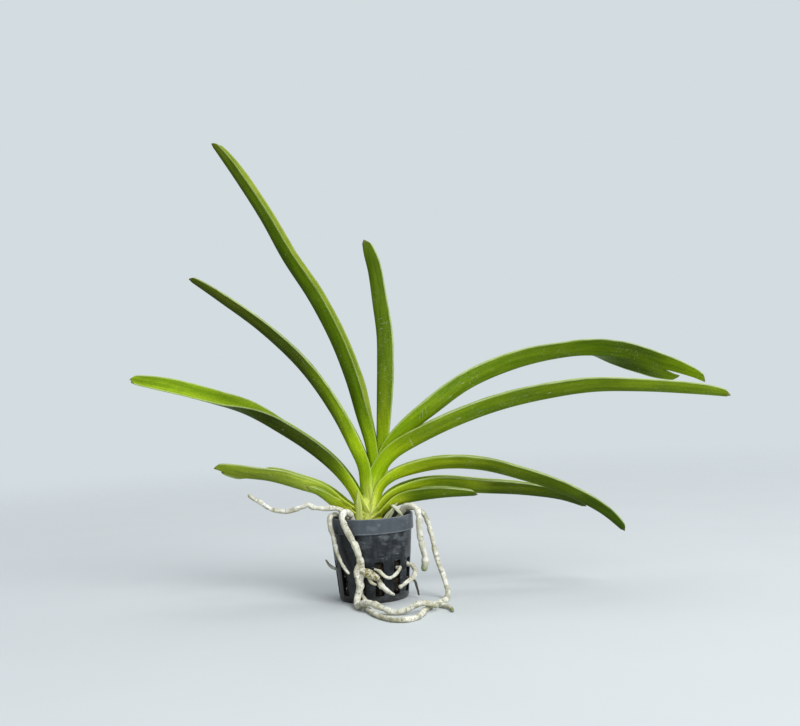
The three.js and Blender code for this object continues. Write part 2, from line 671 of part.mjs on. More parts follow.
function mediumSolid(holes) {
  const draw = drawsFrom(MEDIUM.seed);
  const low = POT.floor + GAP;
  const shoulder = MEDIUM.top - MEDIUM.edgeDrop;
  const profile = [
    [0, low],
    [mediumRadius(low) - MEDIUM.footInset, low],
    [mediumRadius(low + MEDIUM.footHeight), low + MEDIUM.footHeight],
    [mediumRadius(shoulder), shoulder],
    [mediumRadius(shoulder) - MEDIUM.edgeWidth, MEDIUM.top],
    [0, MEDIUM.top],
  ].map(([r, z]) => new THREE.Vector2(r, z));
  const plug = new THREE.LatheGeometry(profile, MEDIUM.sides);
  plug.rotateX(Math.PI / 2);
  let solid = closedSolid(plug);
  for (let i = 0; i < MEDIUM.chunks; i += 1) {
    solid = solid.add(barkChunk(i, draw));
  }
  for (const hole of holes) {
    solid = solid.subtract(hole);
  }
  return largestBody(solid);
}

// ---------- assembly ----------

const orchid = new THREE.Group();

function addPiece(name, solid, finish) {
  const mesh = new THREE.Mesh(toGeometry(solid), finish.clone());
  mesh.name = name;
  orchid.add(mesh);
}

const grownStem = stemSolid(GAP);
addPiece('stem', stemSolid(), FINISHES.stem);

// Each leaf clears the stem and every leaf that it folds round.
const innerLeaves = [];
for (const leaf of LEAVES) {
  let blade = leafBlade(leaf).subtract(grownStem);
  for (const inner of innerLeaves) {
    blade = blade.subtract(inner);
  }
  addPiece(leaf.name, largestBody(blade), leaf.name === 'leaf_c1' ? FINISHES.youngLeaf : FINISHES.leaf);
  innerLeaves.push(leafBlade(leaf, GAP));
}

for (const root of ROOTS) {
  const finish = root.name === 'root_dead' ? FINISHES.deadRoot : FINISHES.root;
  addPiece(root.name, rootSolid(root), finish);
}

addPiece('pot', potSolid(), FINISHES.pot);
addPiece('medium', mediumSolid([grownStem, ...ROOTS.map((root) => rootSolid(root, GAP))]), FINISHES.bark);

export default orchid;
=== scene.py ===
import math
import random

import bmesh
import bpy
import numpy as np
from mathutils import Matrix, Vector, noise
from mathutils.kdtree import KDTree


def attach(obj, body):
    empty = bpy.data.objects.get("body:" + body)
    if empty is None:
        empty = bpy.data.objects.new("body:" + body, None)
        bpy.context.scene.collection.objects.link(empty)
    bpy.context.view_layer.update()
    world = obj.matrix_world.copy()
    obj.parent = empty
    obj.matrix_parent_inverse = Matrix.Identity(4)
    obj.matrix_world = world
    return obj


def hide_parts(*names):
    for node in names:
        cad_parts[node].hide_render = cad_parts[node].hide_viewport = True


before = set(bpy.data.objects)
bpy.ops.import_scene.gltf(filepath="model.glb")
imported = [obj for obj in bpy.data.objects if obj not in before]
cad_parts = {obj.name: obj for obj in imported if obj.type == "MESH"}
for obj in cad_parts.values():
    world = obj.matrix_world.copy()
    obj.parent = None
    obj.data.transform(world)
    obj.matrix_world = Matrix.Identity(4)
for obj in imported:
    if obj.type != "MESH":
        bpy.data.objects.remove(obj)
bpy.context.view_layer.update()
scene = bpy.context.scene
mm = 0.001  # tables and mesh code are in millimetres, meshes are written in metres
print("frame loaded,", len(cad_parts), "nodes")


# camera, lights and floor

cameraSet = {
    "place": (0.019, -0.6, 0.1174),
    "roll": 3.0,        # the pot's top leans left in the picture
    "lens": 53.46,
    "sensor": 36.0,
}
lightSet = {
    "key": {"place": (0.85, -1.15, 1.25), "size": 0.8, "watts": 23, "tone": (1.0, 0.985, 0.96)},
    "fill": {"place": (-1.25, -1.3, 0.65), "size": 1.4, "watts": 2.4, "tone": (0.95, 0.975, 1.0)},
    "top": {"place": (0.15, 0.25, 1.5), "size": 1.2, "watts": 8, "tone": (1.0, 1.0, 1.0)},
    "aim": (0.02, 0.0, 0.09),
}
roomSet = {
    "tone": (211, 220, 224),
    "glow": (0.26, 0.64),        # light that the room gives, from its left and from its right
    "glowTone": (0.93, 0.965, 1.0, 1.0),
    "floorTone": (207, 214, 218),
    "floorRadius": 4.0,
    "fadeFrom": 0.2,
    "fadeTo": 0.95,
}


def tone(red, green, blue):
    # screen colour 0-255 to the linear colour that a socket takes
    def linear(value):
        value /= 255
        return value / 12.92 if value <= 0.04045 else ((value + 0.055) / 1.055) ** 2.4
    return (linear(red), linear(green), linear(blue), 1.0)


def makeCamera(look):
    data = bpy.data.cameras.new("viewCamera")
    data.sensor_width = look["sensor"]
    data.lens = look["lens"]
    camera = bpy.data.objects.new("viewCamera", data)
    camera.location = look["place"]
    camera.rotation_euler = (math.radians(90), math.radians(look["roll"]), 0)
    scene.collection.objects.link(camera)
    scene.camera = camera


def makeLight(name, look, aim):
    data = bpy.data.lights.new(name, "AREA")
    data.size = look["size"]
    data.energy = look["watts"]
    data.color = look["tone"]
    light = bpy.data.objects.new(name, data)
    light.location = look["place"]
    toAim = Vector(aim) - Vector(look["place"])
    light.rotation_euler = toAim.to_track_quat("-Z", "Y").to_euler()
    scene.collection.objects.link(light)


makeCamera(cameraSet)
for lightName in ("key", "fill", "top"):
    makeLight(lightName + "Light", lightSet[lightName], lightSet["aim"])
scene.view_settings.view_transform = "Standard"
scene.view_settings.look = "None"


# materials: a flow is a number or colour on its way from node to node, so its sums read as sums

class Flow:
    def __init__(self, socket):
        self.socket = socket

    def __add__(self, other):
        return calc("ADD", self, other)

    def __sub__(self, other):
        return calc("SUBTRACT", self, other)

    def __rsub__(self, other):
        return calc("SUBTRACT", other, self)

    def __mul__(self, other):
        return calc("MULTIPLY", self, other)

    def __truediv__(self, other):
        return calc("DIVIDE", self, other)

    def __pow__(self, power):
        return calc("POWER", self, power)

    def __abs__(self):
        return calc("ABSOLUTE", self)

    def __gt__(self, limit):
        return calc("GREATER_THAN", self, limit)


work = {}     # the material that is being made: its node tree and its shader


def newFinish(name):
    finish = bpy.data.materials.new(name)
    finish.use_nodes = True
    work["tree"] = finish.node_tree
    work["shader"] = finish.node_tree.nodes["Principled BSDF"]
    return finish


def put(socket, value):
    # a flow is linked, a plain number or colour is set on the socket itself
    if isinstance(value, Flow):
        work["tree"].links.new(value.socket, socket)
    else:
        socket.default_value = value


def addNode(kind, *values):
    node = work["tree"].nodes.new("ShaderNode" + kind)
    for socket, value in zip(node.inputs, values):
        put(socket, value)
    return node


def calc(operation, *values):
    node = addNode("Math", *values)
    node.operation = operation
    return Flow(node.outputs[0])


def larger(a, b):
    return calc("MAXIMUM", a, b)


def remap(value, low, high, toLow=0.0, toHigh=1.0):
    # smooth step from one range to another
    node = addNode("MapRange", value, low, high, toLow, toHigh)
    node.interpolation_type = "SMOOTHSTEP"
    return Flow(node.outputs["Result"])


def tint(factor, below, above, mode="MIX"):
    node = addNode("Mix")
    node.data_type = "RGBA"
    node.blend_type = mode
    for place, value in ((0, factor), (6, below), (7, above)):     # the sockets that mix colours
        put(node.inputs[place], value)
    return Flow(node.outputs[2])


def stain(colour, amount, shade):
    # an amount of a screen colour over the colour so far
    return tint(amount, colour, tone(*shade))


def dyed(colour, red, green, blue):
    return tint(1.0, colour, (red, green, blue, 1.0), "MULTIPLY")


def readMark(name):
    node = addNode("Attribute")
    node.attribute_name = name
    return Flow(node.outputs["Fac"])


def combine(x, y, z):
    return Flow(addNode("CombineXYZ", x, y, z).outputs[0])


def parted(vector):
    return [Flow(socket) for socket in addNode("SeparateXYZ", vector).outputs]


def meshPlace(*stretch):
    # place in the mesh in millimetres, pulled out along its axes
    node = addNode("VectorMath", Flow(addNode("TexCoord").outputs["Object"]))
    node.operation = "MULTIPLY"
    node.inputs[1].default_value = [share / mm for share in stretch or (1, 1, 1)]
    return Flow(node.outputs[0])


def cloud(place, size, detail=2.0, roughness=0.5):
    # noise whose blotches are about size units across
    node = addNode("TexNoise", place)
    for key, value in (("Scale", 1 / size), ("Detail", detail), ("Roughness", roughness)):
        node.inputs[key].default_value = value
    return Flow(node.outputs[0])


def cells(place, size, share, shuffle):
    # distance to the middle of each cell, and whether the cell is in the share that is chosen
    node = addNode("TexVoronoi", place)
    node.inputs["Scale"].default_value = 1 / size
    return Flow(node.outputs["Distance"]), calc("FRACT", Flow(node.outputs["Color"]) * shuffle) > 1 - share


def band(value, stops, low, high):
    # colour along a value, from stops of (place, screen colour)
    node = addNode("ValToRGB", (value - low) / (high - low))
    ramp = node.color_ramp
    while len(ramp.elements) < len(stops):
        ramp.elements.new(0.5)
    for element, (place, colour) in zip(ramp.elements, stops):
        element.position = (place - low) / (high - low)
        element.color = tone(*colour)
    return Flow(node.outputs[0])


def relief(height, depth, strength):
    # height 0-1 raised by depth millimetres
    node = addNode("Bump", strength, depth * mm)
    put(node.inputs["Height"], height)
    put(work["shader"].inputs["Normal"], Flow(node.outputs[0]))


def setSurface(colour, roughness, specular, flesh=None):
    values = {"Base Color": colour, "Roughness": roughness, "Specular IOR Level": specular}
    if flesh:
        values["Subsurface Weight"] = flesh[0]
        values["Subsurface Radius"] = [reach * mm for reach in flesh[1:]]
        values["Subsurface Scale"] = 1.0
    for key, value in values.items():
        put(work["shader"].inputs[key], value)


# the room

def makeRoom(look):
    world = bpy.data.worlds.new("studioRoom")
    world.use_nodes = True
    work["tree"] = world.node_tree
    glow = world.node_tree.nodes["Background"]
    glow.inputs["Color"].default_value = look["glowTone"]
    across = parted(Flow(addNode("TexCoord").outputs["Generated"]))[0]
    put(glow.inputs["Strength"], remap(across, -1.0, 1.0, *look["glow"]))
    seen = addNode("Background", tone(*look["tone"]))
    direct = Flow(addNode("LightPath").outputs["Is Camera Ray"])
    both = addNode("MixShader", direct, Flow(glow.outputs[0]), Flow(seen.outputs[0]))
    put(world.node_tree.nodes["World Output"].inputs[0], Flow(both.outputs[0]))
    scene.world = world

    bm = bmesh.new()
    bmesh.ops.create_circle(bm, cap_ends=True, segments=96, radius=look["floorRadius"])
    mesh = bpy.data.meshes.new("paleFloor")
    bm.to_mesh(mesh)
    bm.free()
    floor = bpy.data.objects.new("paleFloor", mesh)
    scene.collection.objects.link(floor)
    mesh.materials.append(newFinish("floorPaint"))
    place = meshPlace()
    pale = tone(*look["floorTone"])
    dimmer = [part * 0.985 for part in pale[:3]] + [1]
    setSurface(tint(remap(cloud(place, 60, 3), 0.3, 0.7), dimmer, pale), 0.75, 0.5)
    away = addNode("VectorMath", place)
    away.operation = "LENGTH"
    fade = remap(Flow(away.outputs["Value"]), look["fadeFrom"] / mm, look["fadeTo"] / mm, 1.0, 0.0)
    put(work["shader"].inputs["Alpha"], fade)


makeRoom(roomSet)
print("room ready")


# numbers and mesh code

def ease(low, high, value):
    t = np.clip((value - low) / (high - low), 0.0, 1.0)
    return t * t * (3 - 2 * t)


def mix(a, b, t):
    return a + (b - a) * t


def unit(vectors):
    return vectors / np.maximum(np.linalg.norm(vectors, axis=-1, keepdims=True), 1e-9)


def makeRoute(points, perSpan=80):
    # centripetal curve through the points, with the length along it
    knots = np.array(points, float)
    knots = np.vstack([2 * knots[0] - knots[1], knots, 2 * knots[-1] - knots[-2]])
    places, tangents = [], []
    for i in range(1, len(knots) - 2):
        before, start, stop, after = knots[i - 1:i + 3]
        d0, d1, d2 = (math.sqrt(np.linalg.norm(q - p))
                      for p, q in ((before, start), (start, stop), (stop, after)))
        leave = ((start - before) / d0 - (stop - before) / (d0 + d1) + (stop - start) / d1) * d1
        reach = ((stop - start) / d1 - (after - start) / (d1 + d2) + (after - stop) / d2) * d1
        square = -3 * start + 3 * stop - 2 * leave - reach
        cube = 2 * start - 2 * stop + leave + reach
        t = np.linspace(0, 1, perSpan + 1)[(0 if i == 1 else 1):, None]
        places.append(start + leave * t + square * t ** 2 + cube * t ** 3)
        tangents.append(leave + 2 * square * t + 3 * cube * t ** 2)
    places, tangents = np.vstack(places), unit(np.vstack(tangents))
    gone = np.concatenate([[0], np.cumsum(np.linalg.norm(np.diff(places, axis=0), axis=1))])
    return {"places": places, "tangents": tangents, "gone": gone, "length": gone[-1]}


def walk(route, along):
    # place and direction at distances along a route
    place = np.stack([np.interp(along, route["gone"], route["places"][:, k]) for k in range(3)], -1)
    heading = np.stack([np.interp(along, route["gone"], route["tangents"][:, k]) for k in range(3)], -1)
    return place, unit(heading)


def turned(degrees):
    return math.cos(math.radians(degrees)), math.sin(math.radians(degrees))


def gridFaces(rows, count, first=0):
    # faces between closed rings that follow one another
    faces = []
    for i in range(rows - 1):
        for j in range(count):
            k = (j + 1) % count
            a = first + i * count
            faces.append((a + j, a + k, a + count + k, a + count + j))
    return faces


def fanCap(points, faces, ring, marks, values):
    # closes a ring with a point in its middle
    points.append(np.mean([points[i] for i in ring], axis=0))
    for key, value in values.items():
        marks[key].append(value)
    middle = len(points) - 1
    for a, b in zip(ring, ring[1:] + ring[:1]):
        faces.append((a, b, middle))


def addRings(rings, ringMarks, points, faces, marks):
    first = len(points)
    rows, count = len(rings), len(rings[0])
    for ring, values in zip(rings, ringMarks):
        points.extend(ring)
        for key in marks:
            marks[key].extend(values[key])
    faces.extend(gridFaces(rows, count, first))
    for start in (first, first + (rows - 1) * count):
        ring = list(range(start, start + count))
        fanCap(points, faces, ring, marks, {key: marks[key][start] for key in marks})


def addMark(mesh, key, values):
    mark = mesh.attributes.new(key, "FLOAT", "POINT")
    mark.data.foreach_set("value", np.asarray(values, np.float32))


def addPiece(name, points, faces, marks, finishes, faceFinish=None, sharpDeg=None):
    mesh = bpy.data.meshes.new(name)
    mesh.from_pydata((np.asarray(points) * mm).tolist(), [], faces)
    for key, values in marks.items():
        addMark(mesh, key, values)
    for finish in finishes:
        mesh.materials.append(finish)
    if faceFinish is not None:
        mesh.polygons.foreach_set("material_index", np.asarray(faceFinish, np.int32))
    bm = bmesh.new()
    bm.from_mesh(mesh)
    bmesh.ops.recalc_face_normals(bm, faces=bm.faces)
    bm.to_mesh(mesh)
    bm.free()
    mesh.shade_smooth()
    if sharpDeg is not None:
        mesh.set_sharp_from_angle(angle=math.radians(sharpDeg))
    piece = bpy.data.objects.new(name, mesh)
    scene.collection.objects.link(piece)
    return piece


def bakeShape(piece):
    # the mesh as its modifiers leave it
    view = bpy.context.evaluated_depsgraph_get()
    made = bpy.data.meshes.new_from_object(piece.evaluated_get(view))
    old = piece.data
    piece.modifiers.clear()
    piece.data = made
    bpy.data.meshes.remove(old)
    made.shade_smooth()
    return made


def pieceName(node):
    # leaf_c1 is made by the piece leafC1
    kind, which = node.split("_")
    return kind + which.capitalize()


def standFor(piece, node):
    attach(piece, "root")
    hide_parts(node)


# leaves: the blade's section, then its surface

bladeForm = {
    "keelThickness": 1.6, "armThickness": 1.15, "marginThickness": 0.7, "claspThickness": 0.75,
    "tipKeel": 0.9, "tipArm": 0.8, "keelRadius": 0.9,
    "claspShare": 0.4, "claspMost": 46, "claspFade": 1.5,
    "farWidth": 0.8, "narrowing": (0.35, 0.95), "thinning": (0.6, 1.0), "unfolding": (0.5, 0.85),
    "tipTaper": 26, "tipWidth": 0.3, "tipGather": 6, "lobeRound": 2, "lobeCurve": 3,
    "rowEvery": 1.7, "tipRowEvery": 0.55, "tipRowsFrom": 9,
    "notch": 0.26,         # share of each half that the cut at the keel takes
    "keelRidge": 0.16,     # raised line under the keel
    "bulge": 0.3,          # outward swell of each half between keel and margin
    "ripple": 0.014,       # share by which the margins wander
    "wave": 0.22,          # slow in-and-out of the halves along the leaf
    "halfColumns": (0, 0.035, 0.075, 0.125, 0.19, 0.27, 0.36, 0.46, 0.56, 0.66, 0.75, 0.83, 0.9, 0.955, 1),
    "edgeTurns": (50, 0, -50),   # degrees round the rounded margin
    "endTurns": (30, 60, 84),    # degrees round the rounded tip
}
columns = np.array([-u for u in bladeForm["halfColumns"][:0:-1]] + list(bladeForm["halfColumns"]))

leaves = [
    {
        "node": "leaf_c1", "slot": "young_leaf", "seed": 3,
        "side": 1, "sheath": 9, "width": 8.6, "base": 0.68, "clasp": 0.75,
        "open": (20, 30), "short": (0.6, 1.6, 0), "farWidth": 0.92, "tipTaper": 16,
        "spine": ((4.2, 0, 69), (5.4, 0, 84), (6.4, 0.4, 99.3), (7.5, 0.8, 117), (8, 1.3, 132),
                  (6.8, 2, 148), (5.4, 2.6, 164), (3.6, 3.2, 174), (3, 3.5, 181)),
        "lengthTonesAndShade": ((0, (166, 190, 30)), (22, (126, 151, 21)), (48, (102, 132, 32)), (80, (98, 128, 46)),
                  (118, (96, 126, 36))),
        "keelShadeAndBlotchTone": (86, 112, 12), "keelShade": 0.6, "scuffs": 0.9,
        "nicks": ((66, 2.6, 1.6, 0.25, 78), (68.6, 4.4, 2.2, 0.2, 84), (71, 3, 1.8, 0.2, 80),
                  (47, 5.4, 0.5, 0.45, 0), (42, 2.4, 0.4, 0.35, 0), (34, 1.6, 0.4, 0.5, 0)),
    },
    {
        "node": "leaf_r1", "seed": 11, "side": -1, "sheath": 14, "width": 9.4, "base": 0.74, "clasp": 1.85,
        "open": (24, 80), "roll": (64, 0.56, 0.8), "short": (0, 22, 13),
        "spine": ((8.8, 0, 64.5), (13, 0, 72.8), (20.8, 0.5, 80.4), (35.4, 2, 90.7), (53.9, 4, 102.6),
                  (74.8, 6, 110.6), (95.7, 7.5, 115.1), (116.3, 8, 116.4), (136.6, 7.5, 113.4),
                  (153.5, 6.5, 107), (173.4, 5, 98.8)),
        "lengthTonesAndShade": ((0, (158, 186, 24)), (18, (134, 170, 22)), (45, (125, 160, 46)), (85, (112, 144, 38)),
                  # the dark stop at 148 is painted shade on the lobe under the turned tip
                  (120, (88, 118, 8)), (148, (52, 76, 0)), (172, (116, 148, 16))),
        "keelShadeAndBlotchTone": (92, 122, 22), "keelShade": 0.4, "scuffs": 0.8,
        "nicks": ((33, 4.6, 3.6, 0.24, 58), (35.4, 5.2, 4.2, 0.22, 66), (31, 4.2, 2.6, 0.2, 50),
                  (49.5, 2.6, 1.7, 0.34, 12), (58.5, 5, 0.8, 0.5, 30), (74, 4.4, 0.6, 0.7, 70),
                  (38, 2.6, 1.4, 0.2, -20), (84, 5.8, 1.2, 0.2, 80)),
    },
    {
        "node": "leaf_l1", "seed": 23, "side": 1, "sheath": 6, "width": 8.4, "base": 0.8, "clasp": 2.95,
        "open": (24, 32), "roll": (-15, 0.05, 0.2), "short": (0, 1.8, 1),
        "spine": ((0.8, 0, 63.5), (-0.8, 0, 77), (-4.4, 0.6, 91.5), (-8.9, 1.6, 110.2), (-15.9, 3, 130.9),
                  (-25.6, 4.2, 151.8), (-37.8, 5.4, 172.9), (-48, 6, 193.9), (-59.9, 5.8, 215),
                  (-71.3, 5, 233.8)),
        "lengthTonesAndShade": ((0, (150, 180, 24)), (16, (130, 166, 16)), (40, (100, 134, 14)), (76, (100, 134, 8)),
                  (115, (93, 125, 7)), (150, (100, 130, 14)), (185, (109, 132, 36))),
        "marginShare": (0.25, 0.22),
        "keelShadeAndBlotchTone": (62, 84, 2), "keelShade": 0.75, "scuffs": 0.35,
        # the back half lies in shade; its paler inner face here is painted light
        "insideToneAndLight": (160, 180, 104), "insideShareAndLight": 0.85,
        "nicks": ((60, 3, 0.5, 0.4, 0), (118, 4, 0.6, 0.3, 40)),
    },
    {
        "node": "leaf_r2", "seed": 37, "side": -1, "sheath": 13, "width": 8.5, "base": 1.15, "clasp": 4.05,
        "open": (26, 36), "short": (1.2, 1.9, 0),
        "spine": ((7, 0, 57.5), (8.2, 0, 61.4), (11.4, -0.1, 66.2), (15.6, -0.4, 70), (21.8, -1, 73.6),
                  (42.3, -4, 83), (67.6, -7, 91.3), (92.5, -10, 96.1), (114, -12, 98.2),
                  (136.8, -12.5, 97.3), (160, -12.5, 95), (182, -11, 92.2)),
        "lengthTonesAndShade": ((0, (150, 182, 24)), (20, (134, 164, 20)), (32, (132, 160, 32)), (57, (114, 146, 26)),
                  (95, (98, 126, 20)), (130, (108, 134, 29)), (165, (125, 155, 38)), (190, (134, 161, 40))),
        "keelShadeAndBlotchTone": (84, 110, 20), "keelShade": 0.45, "scuffs": 0.7,
        "nicks": ((25.4, 3.4, 3.6, 0.42, 86), (52, 3.8, 1.6, 0.4, 0), (63, 3, 2.4, 0.3, 10),
                  (98, 3.2, 1.2, 0.25, 0), (150, 2.2, 0.6, 0.5, 0)),
    },
    {
        "node": "leaf_l2", "seed": 41, "side": 1, "sheath": 13, "width": 6.9, "base": 1.3, "clasp": 5.1,
        "open": (28, 34), "short": (0, 1.7, 1.2),
        "spine": ((-4.4, 0, 55.5), (-5, 0, 65), (-8.6, -0.4, 74.8), (-17.4, -2.6, 94.6),
                  (-31.2, -5.4, 116.5), (-49.9, -7.6, 136.6), (-69, -8, 152.4), (-84.3, -7, 164.4)),
        # the dark stops from 72 on are painted shade
        "lengthTonesAndShade": ((0, (160, 190, 44)), (26, (172, 208, 38)), (44, (122, 154, 20)), (72, (70, 90, 4)),
                  (104, (70, 86, 8)), (135, (82, 98, 22))),
        "keelShadeAndBlotchTone": (52, 68, 2), "keelShade": 0.8, "scuffs": 0.3,
        "nicks": ((72, 4.8, 7, 0.12, 2), (60, 3, 0.5, 0.3, 0)),
    },
    {
        "node": "leaf_r3", "seed": 53, "side": -1, "sheath": 9, "width": 7.1, "base": 1.08, "clasp": 6.2,
        "open": (30, 32), "short": (0.4, 1.9, 0), "farWidth": 0.88,
        "spine": ((5.2, 0, 46.6), (6, 0, 50), (8, -0.1, 54.4), (12.4, -0.4, 57.8), (17.8, -0.8, 59.9),
                  (36.2, -4.4, 63.3), (56, -8, 62.2), (75.4, -10.6, 56.7), (94.7, -12.6, 49.3),
                  (113.7, -13.8, 38.5), (125.2, -14, 28.4)),
        "lengthTonesAndShade": ((0, (164, 190, 48)), (14, (172, 200, 44)), (34, (156, 182, 34)), (64, (94, 117, 11)),
                  (96, (74, 97, 4)), (130, (85, 112, 5))),
        "keelShadeAndBlotchTone": (72, 94, 12), "keelShade": 0.5, "scuffs": 0.55,
        "nicks": ((14, 3.6, 1.2, 0.5, 20), (54.5, 4.6, 1.4, 0.3, -10), (66, 3.2, 0.6, 0.3, 0)),
    },
    {
        "node": "leaf_l3", "seed": 61, "side": 1, "sheath": 9, "width": 7.3, "base": 1.2, "clasp": 6.2,
        "open": (28, 46), "roll": (-52, 0.4, 0.66), "short": (1, 1.8, 0),
        "spine": ((-7.8, 0, 48), (-10.8, 0, 54.4), (-17.8, 1.2, 63.6), (-29, 3.2, 74), (-43.9, 4.6, 84.8),
                  (-63.6, 5, 96.9), (-88.5, 4, 106.5), (-118.6, 2, 115.3)),
        # the dark stops from 34 to 82 are painted shade
        "lengthTonesAndShade": ((0, (130, 156, 44)), (14, (100, 126, 20)), (34, (63, 81, 7)), (63, (49, 65, 4)),
                  (82, (64, 86, 8)), (98, (150, 188, 60)), (130, (142, 178, 36))),
        # the back half lies in shade; its paler inner face here is painted light
        "insideToneAndLight": (150, 184, 62), "insideShareAndLight": 0.8, "marginShare": (0.25, 0.5),
        "keelShadeAndBlotchTone": (52, 70, 2), "keelShade": 0.75, "scuffs": 0.25,
        "nicks": ((52, 3.2, 0.5, 0.4, 0),),
    },
    {
        "node": "leaf_r4", "seed": 71, "side": -1, "sheath": 6, "width": 8.2, "base": 0.95, "clasp": 7.3,
        "open": (30, 34), "short": (0, 1.6, 1),
        "spine": ((6.6, 0, 43.8), (9.8, 0, 47.8), (14.4, 0.6, 50.4), (20.6, 1.6, 51.6), (36.1, 5, 51.6),
                  (56.5, 8, 48.9), (77.1, 10.6, 46.7), (97.8, 13, 42.8), (111, 14, 38)),
        "lengthTonesAndShade": ((0, (160, 182, 60)), (14, (146, 172, 46)), (43, (142, 170, 36)), (64, (77, 96, 11)),
                  (105, (78, 98, 8))),
        "keelShadeAndBlotchTone": (72, 92, 10), "keelShade": 0.5, "scuffs": 0.4,
        "nicks": ((30, 3.4, 1, 0.3, 0),),
    },
    {
        "node": "leaf_l4", "seed": 83, "side": 1, "sheath": 6, "width": 7.6, "base": 0.85, "clasp": 7.3,
        "open": (26, 74), "roll": (36, 0.6, 0.85), "short": (0, 6, 4), "farWidth": 1.1, "tipTaper": 22,
        "spine": ((-8, 0, 43.2), (-13.4, 0, 46.8), (-22, 1, 51.4), (-35, 1.8, 56.1), (-50, 2, 61.1),
                  (-65, 1, 64), (-78, 0, 68.2)),
        "lengthTonesAndShade": ((0, (160, 186, 70)), (14, (172, 200, 96)), (26, (188, 214, 126)), (46, (140, 162, 78)),
                  (72, (150, 176, 58))),
        "keelShadeAndBlotchTone": (84, 104, 30), "keelShade": 0.55, "scuffs": 0.45,
        "nicks": ((27.5, 2.6, 1.1, 0.5, 25), (46, 4.4, 0.6, 0.3, 0), (58, 5, 0.8, 0.25, 30)),
    },
    {
        "node": "leaf_r5", "seed": 97, "side": -1, "sheath": 5, "width": 6.6, "base": 1.1, "clasp": 8.3,
        "open": (24, 30), "short": (0, 1.3, 0.6),
        "spine": ((6.2, 0, 40.8), (9, 0, 43), (12.7, -0.6, 45.1), (18.6, -1.8, 46.8), (35.5, -4.6, 48.9),
                  (54.4, -6, 49.3)),
        "lengthTonesAndShade": ((0, (126, 152, 40)), (10, (100, 128, 22)), (22, (88, 116, 14)), (56, (81, 103, 20))),
        "keelShadeAndBlotchTone": (72, 96, 10), "keelShade": 0.5, "scuffs": 0.3,
        "nicks": ((34, 2.2, 0.7, 0.4, 0),),
    },
    {
        "node": "leaf_l5", "seed": 101, "side": 1, "sheath": 5, "width": 5.8, "base": 1.25, "clasp": 8.3,
        "open": (24, 30), "short": (0.4, 1.2, 0),
        "spine": ((-8.2, 0, 40.6), (-13, -0.6, 43.4), (-19, -2.4, 47.4), (-24, -4, 52), (-31.5, -5, 57.4)),
        "lengthTonesAndShade": ((0, (150, 178, 70)), (10, (150, 184, 78)), (22, (140, 172, 66)), (34, (176, 196, 120))),
        "keelShadeAndBlotchTone": (70, 92, 14), "keelShade": 0.6, "scuffs": 0.3,
        "nicks": ((29, 2.4, 1, 0.5, 60),),
    },
]


def leafAxes(leaf, heading, share):
    # directions up into the fold and out to the front, at each place on the keel
    up = unit(np.cross(np.array([0.0, leaf["side"], 0.0]), heading))
    front = -np.cross(heading, up) * leaf["side"]
    turn, start, stop = leaf.get("roll", (0, 0, 1))
    roll = np.radians(turn) * ease(start, stop, share)
    cos, sin = np.cos(roll)[..., None], np.sin(roll)[..., None]
    return up * cos - front * sin, front * cos + up * sin


